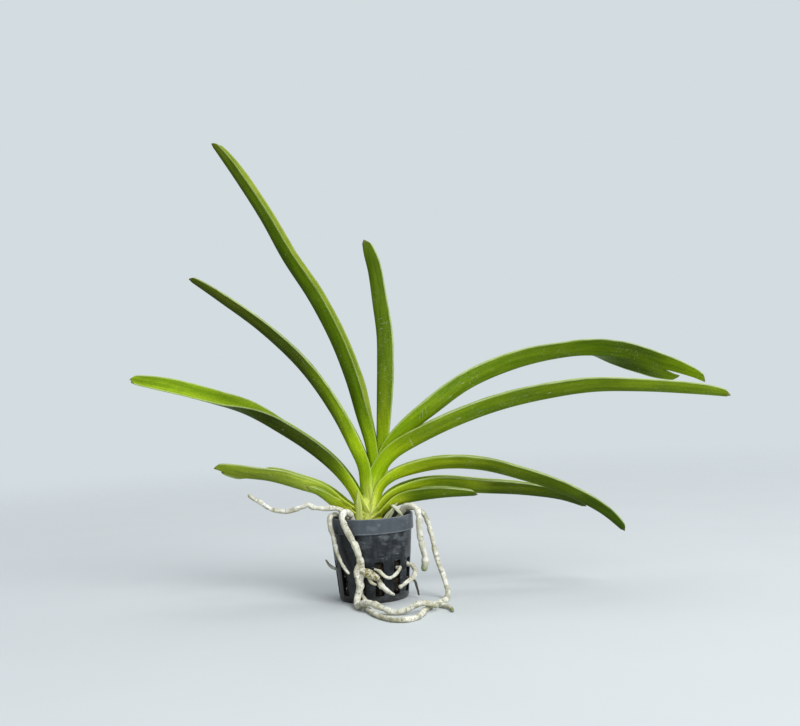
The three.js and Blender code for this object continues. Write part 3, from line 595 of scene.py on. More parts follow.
def leafSection(leaf, route, u, along):
    # centre of the leaf's thickness at each place, the way its outer face looks, the way to its
    # margin, half its thickness and its width
    form = bladeForm
    length = route["length"]
    held = np.clip(along, 0, length)
    share = held / length
    place, heading = walk(route, held)
    up, front = leafAxes(leaf, heading, share)
    end = length - np.where(u < 0, leaf["short"][2], leaf["short"][0])
    opening = min(length * form["claspShare"], form["claspMost"])
    opened = ease(0, opening, held)
    clasped = 1 - opened
    taper = np.clip((end - held) / leaf.get("tipTaper", form["tipTaper"]), 0, 1)
    tip = mix(form["tipWidth"], 1, np.sqrt(1 - (1 - taper) ** 2))
    body = mix(1, leaf.get("farWidth", form["farWidth"]), ease(*form["narrowing"], share))
    thinning = ease(*form["thinning"], share)
    width = leaf["width"] * mix(leaf["base"], 1, opened) * body * tip
    radius = mix(form["keelRadius"], leaf["clasp"], clasped ** form["claspFade"])
    fold = mix(np.radians(leaf["open"][0]), np.radians(leaf["open"][1]), ease(*form["unfolding"], share))
    sweep = math.pi / 2 - fold * ease(0, 1, opened)
    keel = mix(mix(form["keelThickness"], form["tipKeel"], thinning), form["claspThickness"], clasped)
    arm = mix(mix(form["armThickness"], form["tipArm"], thinning), form["claspThickness"], clasped)
    margin = mix(form["marginThickness"], form["claspThickness"], clasped)
    away = np.abs(u) * 2
    thick = np.where(away < 1, mix(keel, arm, np.minimum(away, 1)), mix(arm, margin, np.clip(away - 1, 0, 1)))

    wander = random.Random(leaf["seed"])
    waves = [(wander.uniform(0.5, 1), wander.uniform(24, 60), wander.uniform(0, 2 * math.pi))
             for _ in range(3)]
    slow = sum(a * np.sin(2 * math.pi * held / long + phase + 2 * np.sign(u)) for a, long, phase in waves)
    quick = sum(a * np.sin(7 * math.pi * held / long + 2 * phase + np.sign(u)) for a, long, phase in waves)
    free = opened * ease(0, 14, end - held)
    width = width * (1 + form["ripple"] * 0.5 * (slow + 0.5 * quick) * free)

    reach = np.abs(u) * (width - margin / 2)
    angle = np.minimum(reach / radius, sweep)
    straight = np.maximum(reach - radius * sweep, 0)
    rise = radius * (1 - np.cos(angle)) + straight * np.sin(sweep)
    out = (radius * np.sin(angle) + straight * np.cos(sweep)) * np.sign(u)
    hand = np.sign(u)
    swell = form["bulge"] * np.sin(math.pi * np.clip(np.abs(u), 0, 1)) ** 1.5 * free
    swell = swell + form["wave"] * slow / 3 * np.abs(u) * free
    ridge = form["keelRidge"] * np.exp(-(u / 0.05) ** 2) * opened
    face = -np.cos(angle)[..., None] * up + (np.sin(angle) * hand)[..., None] * front
    toEdge = np.sin(angle)[..., None] * up + (np.cos(angle) * np.where(hand == 0, 1, hand))[..., None] * front
    middle = place + up * (rise + keel / 2)[..., None] + front * out[..., None] + face * swell[..., None]
    middle = middle + heading * (along - held)[..., None]
    return {"middle": middle, "face": face, "toEdge": toEdge, "half": thick / 2, "ridge": ridge,
            "heading": heading, "width": width, "ending": end - held, "up": up}


def bladeRows(leaf, route):
    # distance along the leaf of each row and column, and how far round the tip's edge each row is
    form = bladeForm
    length = route["length"]
    near = np.arange(0, length - form["tipRowsFrom"], form["rowEvery"])
    far = np.arange(length - form["tipRowsFrom"], length - 0.2, form["tipRowEvery"])
    share = np.concatenate([near, far, [length]])[:, None] / length
    front, keel, back = leaf["short"]
    sides = np.abs(columns)
    short = np.where(columns < 0, back, front) + form["lobeRound"] * sides ** form["lobeCurve"]
    firstSide = form["notch"]
    at = np.clip(sides / firstSide, 0, 1)
    atFirst = np.where(columns < 0, back, front) + form["lobeRound"] * firstSide ** form["lobeCurve"]
    short = np.where(sides < firstSide, mix(keel, atFirst, at), short)
    edge = form["tipArm"] / 2
    along = length * share - (short + edge)[None, :] * share ** form["tipGather"]
    turns = np.zeros(len(along))
    ends = []
    for turn in form["endTurns"]:
        ends.append(along[-1] + edge * math.sin(math.radians(turn)))
        turns = np.append(turns, math.radians(turn))
    return np.vstack([along, ends]), turns


def edgePoints(cut, half, column, turn):
    # points on the rounded margin, turn degrees towards the outer face
    cos, sin = turned(turn)
    radius = half[..., column, None]
    return (cut["middle"][..., column, :] + cut["toEdge"][..., column, :] * radius * cos
            + cut["face"][..., column, :] * radius * sin)


def bladeMesh(leaf):
    form = bladeForm
    route = makeRoute(leaf["spine"])
    along, turns = bladeRows(leaf, route)
    along[0] += 0.01     # hair line at the joint with the sheath
    u = np.broadcast_to(columns, along.shape)
    cut = leafSection(leaf, route, u, along)
    thin = np.cos(turns)[:, None]
    half = cut["half"] * thin
    outer = cut["middle"] + cut["face"] * (half + cut["ridge"] * thin)[..., None]
    inner = cut["middle"] - cut["face"] * half[..., None]
    loops, across, skin = [outer], [u], [np.ones_like(along)]

    def edgeTurn(column, sign, turnings):
        for turn in turnings:
            loops.append(edgePoints(cut, half, column, turn)[:, None])
            across.append(np.full((len(along), 1), sign * 1.06))
            skin.append(np.full((len(along), 1), 0.5 + 0.5 * turned(turn)[1]))

    edgeTurn(-1, 1, form["edgeTurns"])
    loops.append(inner[:, ::-1])
    across.append(u[:, ::-1])
    skin.append(np.zeros_like(along))
    edgeTurn(0, -1, form["edgeTurns"][::-1])
    loop, across = np.concatenate(loops, 1), np.concatenate(across, 1)
    rows, count = loop.shape[:2]
    wide = len(columns)
    turnsAt = len(form["edgeTurns"])
    source = np.concatenate([np.arange(wide), [wide - 1] * turnsAt, np.arange(wide)[::-1], [0] * turnsAt])
    marks = {
        "across": across, "skin": np.concatenate(skin, 1), "along": along[:, source],
        "reach": across * cut["width"][:, source], "ending": cut["ending"][:, source],
    }
    faces = gridFaces(rows, count)
    for first in (0, (rows - 1) * count):
        inside = [first + wide + turnsAt + (wide - 1 - j) for j in range(wide)]
        for j in range(wide - 1):
            faces.append((first + j, first + j + 1, inside[j + 1], inside[j]))
        faces.append([first + wide - 1 + k for k in range(turnsAt + 2)])
        faces.append([first + count - turnsAt - 1 + k for k in range(turnsAt + 1)] + [first])
    return loop.reshape(-1, 3), faces, {key: value.reshape(-1) for key, value in marks.items()}


# leaf finish: length tones, partly painted shade, painted shade on the keel side, painted light on the inner
# face, veins, painted light and shade of folds, pale margin, scuffs, nicks, dry tip

leafSkin = {
    "marginTone": (204, 220, 156), "marginFrom": 0.95, "marginShare": (0.25, 0.7),
    # the inner face's own paler green; some leaves raise it as painted light
    "insideToneAndLight": (132, 160, 62), "insideShareAndLight": 0.4,
    "shootTones": ((38, (208, 224, 104)), (48, (196, 216, 84)), (56, (174, 204, 54)), (64, (146, 184, 22)),
                   (76, (122, 158, 12))),
    "shootReach": (2, 24),
    "keelFrom": 0.1, "keelTo": 0.72,
    "veinEvery": 0.75, "veinShare": 0.66,
    "blotch": 11, "blotchShare": 0.2,
    "scuffTone": (206, 216, 178), "nickTone": (232, 238, 214),
    "tipTone": (122, 108, 78), "tipReach": 1.7,
    "roughness": (0.42, 0.56), "specular": 0.1,
    "flesh": (0.06, 0.9, 1.4, 0.4),     # share of light under the skin, and its reach for each colour
    "depth": (0.98, 0.96, 0.44),     # takes the blue out of the greens
    "heartTone": (244, 255, 138), "heartReach": (0.8, 5.2), "heartTop": (46, 64), "heartShare": 0.95,
}


def shootTone(wobble):
    # yellow-green of the shoot, paler towards the pot
    stops = leafSkin["shootTones"]
    return band(parted(meshPlace())[2] - 3.0 + wobble * 6.0, stops, stops[0][0], stops[-1][0])


def broadCloud(along, reach, lift):
    return cloud(combine(along * 0.12, reach, lift), 2.6, 3)


def veined(colour, along, reach, lift):
    # pale lines that run along, painted light and shade of slow folds, and fine dark speckle
    streaks = cloud(combine(along * 0.03, reach, lift), leafSkin["veinEvery"], 3, 0.6)
    veins = remap(streaks, 0.3, 0.72, 0.0, leafSkin["veinShare"])
    colour = tint(veins, colour, dyed(colour, 1.32, 1.26, 1.1))
    # painted shade and light of slow folds: darker and lighter copies of the colour in bands along the leaf
    foldShading = cloud(combine(along * 0.1, reach, lift + 4.0), 2.3, 3, 0.55)
    colour = tint(remap(foldShading, 0.36, 0.64), dyed(colour, 0.8, 0.85, 0.6), dyed(colour, 1.2, 1.13, 1.05))
    speckle = remap(cloud(meshPlace(), 0.8, 4, 0.7), 0.42, 0.62, 0.7, 0.0)
    return tint(speckle, colour, dyed(colour, 0.78, 0.8, 0.7)), streaks


def crownTone(colour, streaks):
    # pale heart of the shoot, and painted shade on its right side near the rim
    skin = leafSkin
    x, _, z = parted(meshPlace())
    off = abs(x - remap(z, 54.0, 66.0, 0.0, 5.0))
    pale = remap(off, *skin["heartReach"], 1.0, 0.0) * remap(z, *skin["heartTop"], 1.0, 0.0)
    pale = pale * remap(streaks, 0.34, 0.58, 0.1, skin["heartShare"])
    colour = stain(colour, pale, skin["heartTone"])
    # painted shade on the shoot's right side, low down near the rim
    shaded = remap(x, 3.5, 8.0) * remap(z, 43.0, 50.0, 0.75, 0.0)
    return tint(shaded, colour, dyed(colour, 0.5, 0.6, 0.35))


def nickMark(nick, along, reach):
    # oval around one nick: distance along, distance from the keel, length, width, turn in degrees
    place, outward, long, wide, turn = nick
    cos, sin = turned(turn)
    dx, dy = along - place, reach - outward
    far = ((dx * cos + dy * sin) / long) ** 2 + ((dy * cos - dx * sin) / wide) ** 2
    return remap(far, 0.1, 1.3, 0.66, 0.0)


def leafFinish(leaf):
    skin = {**leafSkin, **leaf}
    finish = newFinish(pieceName(leaf["node"]) + "Skin")
    along, across, reach, side = (readMark(name) for name in ("along", "across", "reach", "skin"))
    toMargin = abs(across)
    lift = side * 9.0 + leaf["seed"]
    broad = broadCloud(along, reach, lift)
    # colour along the leaf: its own tones, and painted shade in the dark stops of some leaves
    colour = band(broad * 26.0 + (along - 13.0), leaf["lengthTonesAndShade"], 0.0, 240.0)
    colour = tint(remap(along, *skin["shootReach"], 1.0, 0.0), colour, shootTone(broad))

    grown = remap(along, 6.0, 40.0)
    # painted shade on the outer face, darkest near the keel
    keelSide = remap(toMargin, skin["keelFrom"], skin["keelTo"], 1.0, 0.0)
    colour = stain(colour, keelSide * side * grown * skin["keelShade"], skin["keelShadeAndBlotchTone"])
    # the inner face's own paler green, with painted light where a leaf sets it brighter
    colour = stain(colour, (1.0 - side) * skin["insideShareAndLight"] * grown, skin["insideToneAndLight"])
    blotches = remap(cloud(meshPlace(), skin["blotch"], 4, 0.6), 0.34, 0.68)
    # the leaf's own dark blotches take a deeper copy of the keel's painted shade tone
    dark = [part * 0.74 for part in tone(*skin["keelShadeAndBlotchTone"])[:3]] + [1]
    colour = tint(blotches * grown * skin["blotchShare"], colour, dark)
    colour, streaks = veined(colour, along, reach, lift)
    colour = crownTone(dyed(colour, *skin["depth"]), streaks)

    worn = remap(cloud(combine(along * 0.35, across, lift), 2.2, 2), 0.3, 0.6, 0.45, 1.0)
    rim = remap(toMargin, skin["marginFrom"], 0.985) * worn * remap(along, 8.0, 50.0, *skin["marginShare"])
    colour = stain(colour, rim, skin["marginTone"])

    # short light scuffs that lie across the leaf, in patches, and single dots
    flat = combine(along, reach, lift)
    fine = remap(cloud(combine(along * 2.2, reach * 0.55, lift), 1.0, 4, 0.7), 0.56, 0.68)
    where = remap(cloud(flat, 13.0, 2), 0.46, 0.6) * grown
    far, chosen = cells(flat, 2.3, 0.2, 7.3)
    dots = remap(far, 0.03, 0.08, 1.0, 0.0) * chosen * 0.22
    scuff = larger(fine * where * (skin["scuffs"] * 0.55), dots)
    colour = stain(colour, scuff, skin["scuffTone"])

    nick = 0.0
    for each in leaf["nicks"]:
        nick = larger(nickMark(each, along, reach), nick)
    nick = nick * remap(cloud(meshPlace(), 0.7, 4, 0.75), 0.45, 0.6, 0.0, 0.6) * (side > 0.9)
    colour = stain(colour, nick, skin["nickTone"])
    ending = readMark("ending") + cloud(meshPlace(), 1.3, 3, 0.7) * 1.6
    dry = remap(ending, 0.9, 0.9 + skin["tipReach"], 0.85, 0.0)
    colour = stain(colour, dry, skin["tipTone"])

    rough = remap(blotches, 0.0, 1.0, *skin["roughness"]) + larger(larger(scuff, nick), dry) * 0.3
    setSurface(colour, rough, skin["specular"], skin["flesh"])
    relief(streaks * 0.6 + broad * 1.4 - larger(nick, scuff) * 0.5, 0.16, 0.55)
    return finish


for leaf in leaves:
    blade = addPiece(pieceName(leaf["node"]), *bladeMesh(leaf), [leafFinish(leaf)], sharpDeg=65)
    standFor(blade, leaf["node"])
print("leaves ready:", len(leaves))


# stem: the sheaths that the leaves sit on, a core, and three dry sheath ends at the rim

stemForm = {
    "rings": ((0, 20, 3.2, 2.8), (0, 32, 6.6, 5), (-0.8, 38, 7, 5.4), (0, 50, 5.4, 4.8), (3.4, 62, 4.4, 2.6)),
    "sides": 40, "heights": 30,
    "lap": 0.4, "depths": ((0, 1), (0.45, 0.91), (1, 0.8)), "sheathRows": 12, "lapColumns": 6,
    "drySheaths": (
        {"foot": (-5.4, -6.2, 40), "tip": (-5.4, -6.8, 55), "width": 4.2, "thickness": 0.9, "age": 0.24},
        {"foot": (6, -4.6, 37), "tip": (14, -6.6, 47.8), "width": 4.6, "thickness": 0.9, "age": 0.8},
        {"foot": (12.2, -6.3, 46), "tip": (17, -8.2, 40.6), "width": 2.6, "thickness": 0.8, "age": 1.0},
    ),
    "dryRings": ((-0.15, 1), (0.5, 0.77), (1, 0.12)), "dryRows": 22, "dryColumns": 9, "dryCurl": 0.5,
}
stemSkin = {
    "shade": (84, 112, 14), "margin": (212, 226, 140), "dry": (236, 236, 212), "dryGreen": (92, 120, 40),
    "fleck": (232, 232, 190), "specular": 0.12, "flesh": (0.08, 1.2, 1.6, 0.5),
}


def sameMarks(count, **values):
    # marks that are the same all round a ring
    return {key: [value] * count for key, value in values.items()}


def sheathRings(leaf):
    form = stemForm
    cut = leafSection(leaf, makeRoute(leaf["spine"]), columns, np.zeros(len(columns)))
    outer = cut["middle"] + cut["face"] * cut["half"][:, None]
    edges = [[edgePoints(cut, cut["half"], column, turn) for turn in (50, 0)] for column in (-1, 0)]
    last, first = edges[0][-1], edges[1][-1]
    inward = cut["up"][0] * form["lap"]
    lap = [mix(last, first, k / form["lapColumns"]) + inward for k in range(1, form["lapColumns"])]
    ring = np.array(list(outer) + edges[0] + lap + edges[1][::-1])
    across = list(columns) + [1.06, 1.1] + [1.2] * len(lap) + [-1.1, -1.06]
    reach = [a * leaf["width"] * leaf["base"] for a in across]
    rings, ringMarks = [], []
    for i in range(form["sheathRows"] + 1):
        share = i / form["sheathRows"]
        placed = ring - cut["heading"][0] * leaf["sheath"] * share
        placed[:, 1] *= np.interp(share, *zip(*form["depths"]))
        rings.append(placed)
        same = sameMarks(len(ring), along=-leaf["sheath"] * share, age=0.0, lift=9.0 + leaf["seed"])
        ringMarks.append({"across": across, "reach": reach, **same})
    return rings, ringMarks


def coreRings():
    form = stemForm
    table = np.array(form["rings"], float)
    turns = np.linspace(0, 2 * math.pi, form["sides"], endpoint=False)
    rings, ringMarks = [], []
    for z in np.linspace(table[0, 1], table[-1, 1], form["heights"]):
        x, wide, deep = (np.interp(z, table[:, 1], table[:, k]) for k in (0, 2, 3))
        rings.append(np.stack([x + wide * np.cos(turns), deep * np.sin(turns), np.full_like(turns, z)], 1))
        same = sameMarks(form["sides"], along=z - 62, age=0.0, lift=0.0)
        ringMarks.append({"across": np.cos(turns) * 0.8, "reach": turns * wide, **same})
    return rings, ringMarks


def dryRings(sheath, seed):
    form = stemForm
    foot, tip = np.array(sheath["foot"], float), np.array(sheath["tip"], float)
    places, shares = zip(*form["dryRings"])
    steps = np.linspace(-1, 1, form["dryColumns"])
    across = list(steps) + list(steps[::-1])
    rings, ringMarks = [], []
    for i in range(form["dryRows"] + 1):
        reach = mix(places[0], places[-1], i / form["dryRows"])
        middle = mix(foot, tip, reach)
        wide = sheath["width"] / 2 * np.interp(reach, places, shares)
        wide *= 1 + 0.1 * noise.noise((reach * 5, seed, 0))
        thin = sheath["thickness"] / 2 * mix(1, 0.35, max(reach, 0))
        face, backFace = [], []
        for s in steps:
            curl = form["dryCurl"] * (1 - s * s) * (1 - 0.3 * reach)
            curl += 0.12 * noise.noise((s * 2, reach * 4, seed))
            edge = thin * math.sqrt(max(1 - s ** 4, 0.04))
            face.append(middle + np.array([s * wide, -curl * 0.6 - edge + 0.3, 0]))
            backFace.append(middle + np.array([s * wide, -curl * 0.6 + edge + 0.3, 0]))
        rings.append(np.array(face + backFace[::-1]))
        same = sameMarks(len(across), along=reach * 16 - 12, age=sheath["age"], lift=seed)
        ringMarks.append({"across": across, "reach": [a * wide for a in across], **same})
    return rings, ringMarks


def stemFinish():
    skin = stemSkin
    finish = newFinish("stemSkin")
    along, across, age, reach, lift = (readMark(name) for name in ("along", "across", "age", "reach", "lift"))
    toMargin = abs(across)
    wobble = broadCloud(along, reach, lift)
    below = remap(along, -6.0, -1.0, 1.0, 0.0)     # grows below the joint with the blade
    # painted shade on the sheath's sides, below the joint with the blade
    sides = remap(toMargin, 0.1, 0.7, 0.5, 0.0) * below
    colour = stain(shootTone(wobble), sides * wobble, skin["shade"])
    colour, streak = veined(colour, along, reach, lift)
    colour = crownTone(dyed(colour, *leafSkin["depth"]), streak)
    colour = stain(colour, remap(streak, 0.42, 0.7, 0.0, 0.25) * below, skin["margin"])
    spots = remap(cloud(meshPlace(1, 1, 0.5), 1.6, 3, 0.7), 0.6, 0.7, 0.0, 0.2)
    colour = stain(colour, spots * below, skin["fleck"])
    rim = remap(toMargin, 0.9, 0.985) * remap(toMargin, 1.1, 1.2, 0.3, 0.05)
    colour = stain(colour, rim, skin["margin"])
    papery = tint(remap(streak, 0.3, 0.5), tone(*skin["dryGreen"]), tone(*skin["dry"]))
    colour = tint(age * remap(streak, 0.2, 0.5, 0.8, 1.0), colour, papery)
    setSurface(colour, remap(wobble, 0.3, 0.7, 0.4, 0.58), skin["specular"], skin["flesh"])
    relief(streak + wobble * 0.8, 0.25, 0.7)
    return finish


def makeStem():
    points, faces = [], []
    marks = {"along": [], "across": [], "age": [], "lift": [], "reach": []}
    parts = [coreRings()] + [sheathRings(leaf) for leaf in leaves]
    parts += [dryRings(sheath, i * 9.1) for i, sheath in enumerate(stemForm["drySheaths"])]
    for rings, ringMarks in parts:
        addRings(rings, ringMarks, points, faces, marks)
    stem = addPiece("stemSheaths", points, faces, marks, [stemFinish()], sharpDeg=55)
    standFor(stem, "stem")


makeStem()
print("stem ready")


# roots

rootForm = {
    "around": 18, "step": 0.7, "voxel": 0.3,
    "lumps": 0.2, "pinchEvery": 10, "pinch": 0.2, "bend": 0.34,
}
roots = [
    {
        "node": "root_a", "seed": 5, "radius": (1.5, 1.75, 1.25),
        "route": ((-7.4, -11.4, 33.5), (-8.6, -13.4, 41.3), (-9.4, -15, 44.2), (-11.1, -17, 45.7),
                  (-12.7, -18.8, 45.1), (-13.3, -19.6, 43.3), (-12.5, -20.5, 40.4), (-11.2, -21, 37.4),
                  (-9.4, -21.7, 33.8), (-7.1, -21.8, 28.8), (-5.6, -21.6, 23), (-5, -21.2, 18.5),
                  (-5.4, -20.9, 14), (-6.4, -20.7, 8.3), (-7.8, -22.2, 3.6), (-7.2, -27.4, 1.5),
                  (-5.4, -32.4, 3), (-3.4, -36.2, 4.6), (0.2, -39.8, 4.6), (4.6, -42.6, 3),
                  (10, -45.4, 1.5), (16, -46.4, 2.4), (20.6, -45.4, 4.2), (24.6, -43.6, 4.6),
                  (28.2, -41.2, 3.2), (30.8, -38.6, 1.4)),
        "soil": 0.3, "tipGreen": 0.3,
        "branches": (
            {"radius": (1, 1.25, 1), "moss": 0.3,
             "route": ((-5.8, -21.4, 21.6), (-7.4, -22, 17.6), (-7.5, -22, 13.8), (-6.9, -21.6, 10.1))},
            {"radius": (1.7, 2.1, 1.5), "moss": 1.0,
             "route": ((-5.5, -21.2, 17), (-2.2, -22.2, 16.2), (1.2, -22.8, 14.4), (3.6, -22.9, 12.8))},
            {"radius": (0.9, 0.8, 0.6), "moss": 0.1,
             "route": ((-1.6, -22, 13.6), (-0.6, -22.6, 11.5), (0.8, -22.9, 10.7), (2.2, -22.9, 10.4))},
        ),
    },
    {
        "node": "root_b", "seed": 13, "radius": (1.2, 1.2, 0.7),
        "route": ((-10.4, -3.4, 32), (-13.6, -6, 39.2), (-16.4, -9, 43.8), (-19.5, -12, 43.2),
                  (-19.6, -13.4, 38), (-18.9, -13.7, 35.6), (-17.8, -14.8, 30), (-16.4, -15.3, 24.8),
                  (-14.6, -16.6, 20.4), (-12.7, -18.2, 17.4), (-11.2, -19.4, 15.6)),
        "soil": 0.35, "tipGreen": 0.1,
    },
    {
        "node": "root_c", "seed": 19, "radius": (1.25, 1.2, 0.95),
        "route": ((-8, -7.4, 33), (-10.2, -9.4, 40), (-12.9, -11, 45.2), (-16.4, -13, 47),
                  (-19.9, -14.5, 47.7), (-23.6, -15.6, 48), (-27.8, -16.2, 48.9), (-29.8, -16.4, 50.4),
                  (-32, -16.2, 49.4), (-35.9, -15.6, 48.1), (-40.9, -15, 47.3), (-44.6, -14.4, 47.7),
                  (-48.3, -14, 48.8), (-53.2, -13, 51.9), (-57.5, -12.2, 54.5), (-59.5, -11.8, 56.3)),
        "soil": 0.3,
    },
    {
        "node": "root_d", "seed": 29, "radius": (1.15, 1.5, 1.6),
        "route": ((14.8, -3.4, 33.5), (15.4, -4, 41.2), (17, -6, 45.4), (20.4, -8.8, 46.3),
                  (23.2, -10.8, 44.7), (24.3, -11.6, 41), (24.3, -11.6, 33), (25, -11, 27),
                  (26.2, -10.4, 22), (26.3, -9.8, 17.4), (25.2, -9.4, 13.4)),
        "soil": 0.12, "tipGreen": 0.8,
    },
    {
        "node": "root_e", "seed": 31, "radius": (1.2, 1.3, 1),
        "route": ((10.6, 2, 33), (14.6, 1, 40), (20, -0.6, 44.3), (25.6, -2.4, 42.6), (28.8, -3.8, 36.8),
                  (30.2, -5, 30.6), (31.4, -6.4, 24), (32.4, -8, 18.4), (34.4, -9.6, 12.6),
                  (36, -11.6, 7.8), (36.6, -15, 3.2), (35.4, -20.6, 1.3), (32.6, -26.4, 1.3),
                  (29.2, -32, 1.3), (26.4, -38, 1.3), (24.4, -44.4, 1.3), (23, -52, 1.3),
                  (20.6, -58.6, 1.3), (16, -62.4, 1.3), (11, -61.4, 1.3), (6.4, -56.6, 1.3),
                  (2.4, -49.6, 1.3), (-0.6, -42, 1.3), (-2.6, -34, 1.3), (-3.4, -27, 1.4),
                  (-3.8, -22.2, 2.8), (-5.8, -17, 5), (-5.2, -13.4, 5.9)),
        "soil": 0.34, "moss": 0.25,
        "branches": (
            {"radius": (1.2, 1.1, 0.7), "tipGreen": 0.9,
             "route": ((29.6, -31.4, 1.4), (33.2, -35, 1.4), (36.4, -40, 1.2), (37.6, -47, 0.9))},
        ),
    },
    {
        "node": "root_f", "seed": 43, "radius": (1.2, 1.2, 0.9),
        "route": ((13.6, -4.7, 18.6), (17, -5.8, 17), (20.2, -7.2, 16), (21.3, -9.6, 14), (20, -13.4, 11.7),
                  (16.6, -16.8, 9.8), (12.8, -19.6, 7.7)),
        "soil": 0.25, "tipGreen": 0.1,
    },
    {
        "node": "root_g", "seed": 47, "radius": (0.9, 0.9, 0.8),
        "route": ((2.8, -14.4, 16.2), (3.3, -18, 16.2), (3.6, -21.2, 16.6), (4.8, -22.7, 15.8),
                  (6.6, -22.6, 14), (8.6, -21.8, 13.2), (11, -20.2, 14.2), (13.2, -18.2, 16.2),
                  (13.9, -16.4, 17.2), (13.1, -14.9, 17), (11.6, -13.2, 16.6)),
        "soil": 0.3,
        "branches": (
            {"radius": (0.7, 0.6, 0.5), "route": ((3.8, -21.4, 16.4), (2.6, -22.5, 17.4), (1, -22.8, 18.2))},
        ),
    },
    {
        "node": "root_h", "seed": 59, "radius": (1.2, 1.5, 0.5),
        "route": ((3, -14, 10.9), (3.4, -18, 10.6), (4.2, -21.2, 9.6), (5.8, -22.9, 8.2), (8, -23.8, 6.6),
                  (10.6, -24.3, 5.3)),
        "soil": 0.1, "tipGreen": 0.1,
    },
    {
        "node": "root_dead", "slot": "dead_root", "seed": 67, "radius": (0.8, 0.7, 0.45),
        "route": ((14, -4.8, 10.1), (18, -6.2, 9.8), (20.6, -7, 8.5), (21.6, -7.6, 5.1), (22.4, -8, 1.2)),
        "soil": 0.6, "dark": 1.0,
    },
    {
        "node": "root_tip", "seed": 73, "radius": (0.9, 0.8, 0.4),
        "route": ((-14, -2.7, 15.6), (-18, -3.5, 15.8), (-21, -4.2, 17.4), (-23.4, -4.8, 21)),
        "soil": 0.5, "tipGreen": 0.2, "dark": 0.35,
    },
]
rootSkin = {
    "silver": (232, 231, 214), "chalk": (255, 255, 250), "grey": (176, 176, 146), "soil": (104, 90, 60),
    "olive": (146, 142, 96), "shade": (168, 164, 128),
    "green": (112, 132, 62), "mossTone": (132, 122, 44), "dead": (66, 64, 56), "crack": (92, 82, 56),
    "specular": 0.3,
}


def tube(radius, route, seed):
    # rings along a route, with lumps, pinches and a slight wander, and a rounded end
    form = rootForm
    way = makeRoute(route, 30)
    length = way["length"]
    rows = max(int(length / form["step"]), 10)
    along = np.linspace(0, length, rows + 1)
    end = radius[-1]
    rounding = length - end * (1 - np.sin(np.linspace(0, 1.5, 6)))
    along = np.concatenate([along[along < length - end], rounding])
    place, heading = walk(way, along)
    share = along / length * 2
    thick = np.where(share < 1, mix(radius[0], radius[1], share), mix(radius[1], radius[2], share - 1))
    thick = thick * np.sqrt(np.clip(1 - np.clip(1 - (length - along) / end, 0, 1) ** 2, 0.01, 1))
    draw = random.Random(seed)
    pinches = np.arange(draw.uniform(4, form["pinchEvery"]), length, form["pinchEvery"])
    for at in pinches:
        at += draw.uniform(-5, 5)
        thick = thick * (1 - form["pinch"] * np.exp(-((along - at) / 0.7) ** 2))
        thick = thick * (1 + 0.6 * form["pinch"] * np.exp(-((along - at - 2) / 1.6) ** 2))
    side = unit(np.cross(heading[0], np.array([0.31, 0.17, 0.93])))
    rings = []
    turns = np.linspace(0, 2 * math.pi, form["around"], endpoint=False)
    for i, (centre, ahead) in enumerate(zip(place, heading)):
        side = unit(side - ahead * np.dot(side, ahead))
        other = np.cross(ahead, side)
        drift = form["bend"] * min(i / 12, 1) * ease(0, 3, length - along[i])
        sideways, upwards = noise.noise((along[i] / 7, seed, 0)), noise.noise((along[i] / 7, 0, seed))
        centre = centre + drift * (side * sideways + other * upwards)
        ring = []
        for turn in turns:
            cos, sin = math.cos(turn), math.sin(turn)
            lump = noise.noise((along[i] / 5, cos * 0.8 + seed, sin * 0.8))
            lump += 0.5 * noise.noise((along[i] / 1.9, cos * 1.8, sin * 1.8 + seed))
            point = centre + (side * cos + other * sin) * (thick[i] * (1 + form["lumps"] * lump))
            point[2] = max(point[2], 0.0)
            ring.append(point)
        rings.append(ring)
    return rings, place, along, length


def rootMesh(root):
    # a tube for the root and for each branch, and samples of the marks along them
    points, faces, samples = [], [], []
    for i, way in enumerate((root,) + root.get("branches", ())):
        rings, place, along, length = tube(way["radius"], way["route"], root["seed"] + i * 3.7)
        addRings(rings, [{}] * len(rings), points, faces, {})
        for centre, gone in zip(place, along):
            green = way.get("tipGreen", 0) * float(1 - ease(0, 7, length - gone))
            mossy = ease(0, 3, gone) if i else ease(0.4, 0.9, gone / length)
            samples.append((centre, gone + i * 50, green, way.get("moss", 0) * float(mossy)))
    return points, faces, samples


def voxelled(piece, size):
    # one skin over tubes that run into one another
    remesh = piece.modifiers.new("oneSkin", "REMESH")
    remesh.mode = "VOXEL"
    remesh.voxel_size = size * mm
    remesh.use_smooth_shade = True
    soften = piece.modifiers.new("soften", "SMOOTH")
    soften.factor = 0.5
    soften.iterations = 3
    corners = bakeShape(piece).vertices
    place = np.zeros(len(corners) * 3)
    corners.foreach_get("co", place)
    place = place.reshape(-1, 3)
    place[:, 2] = np.maximum(place[:, 2], 0.0)     # nothing sinks below the surface
    corners.foreach_set("co", place.ravel())


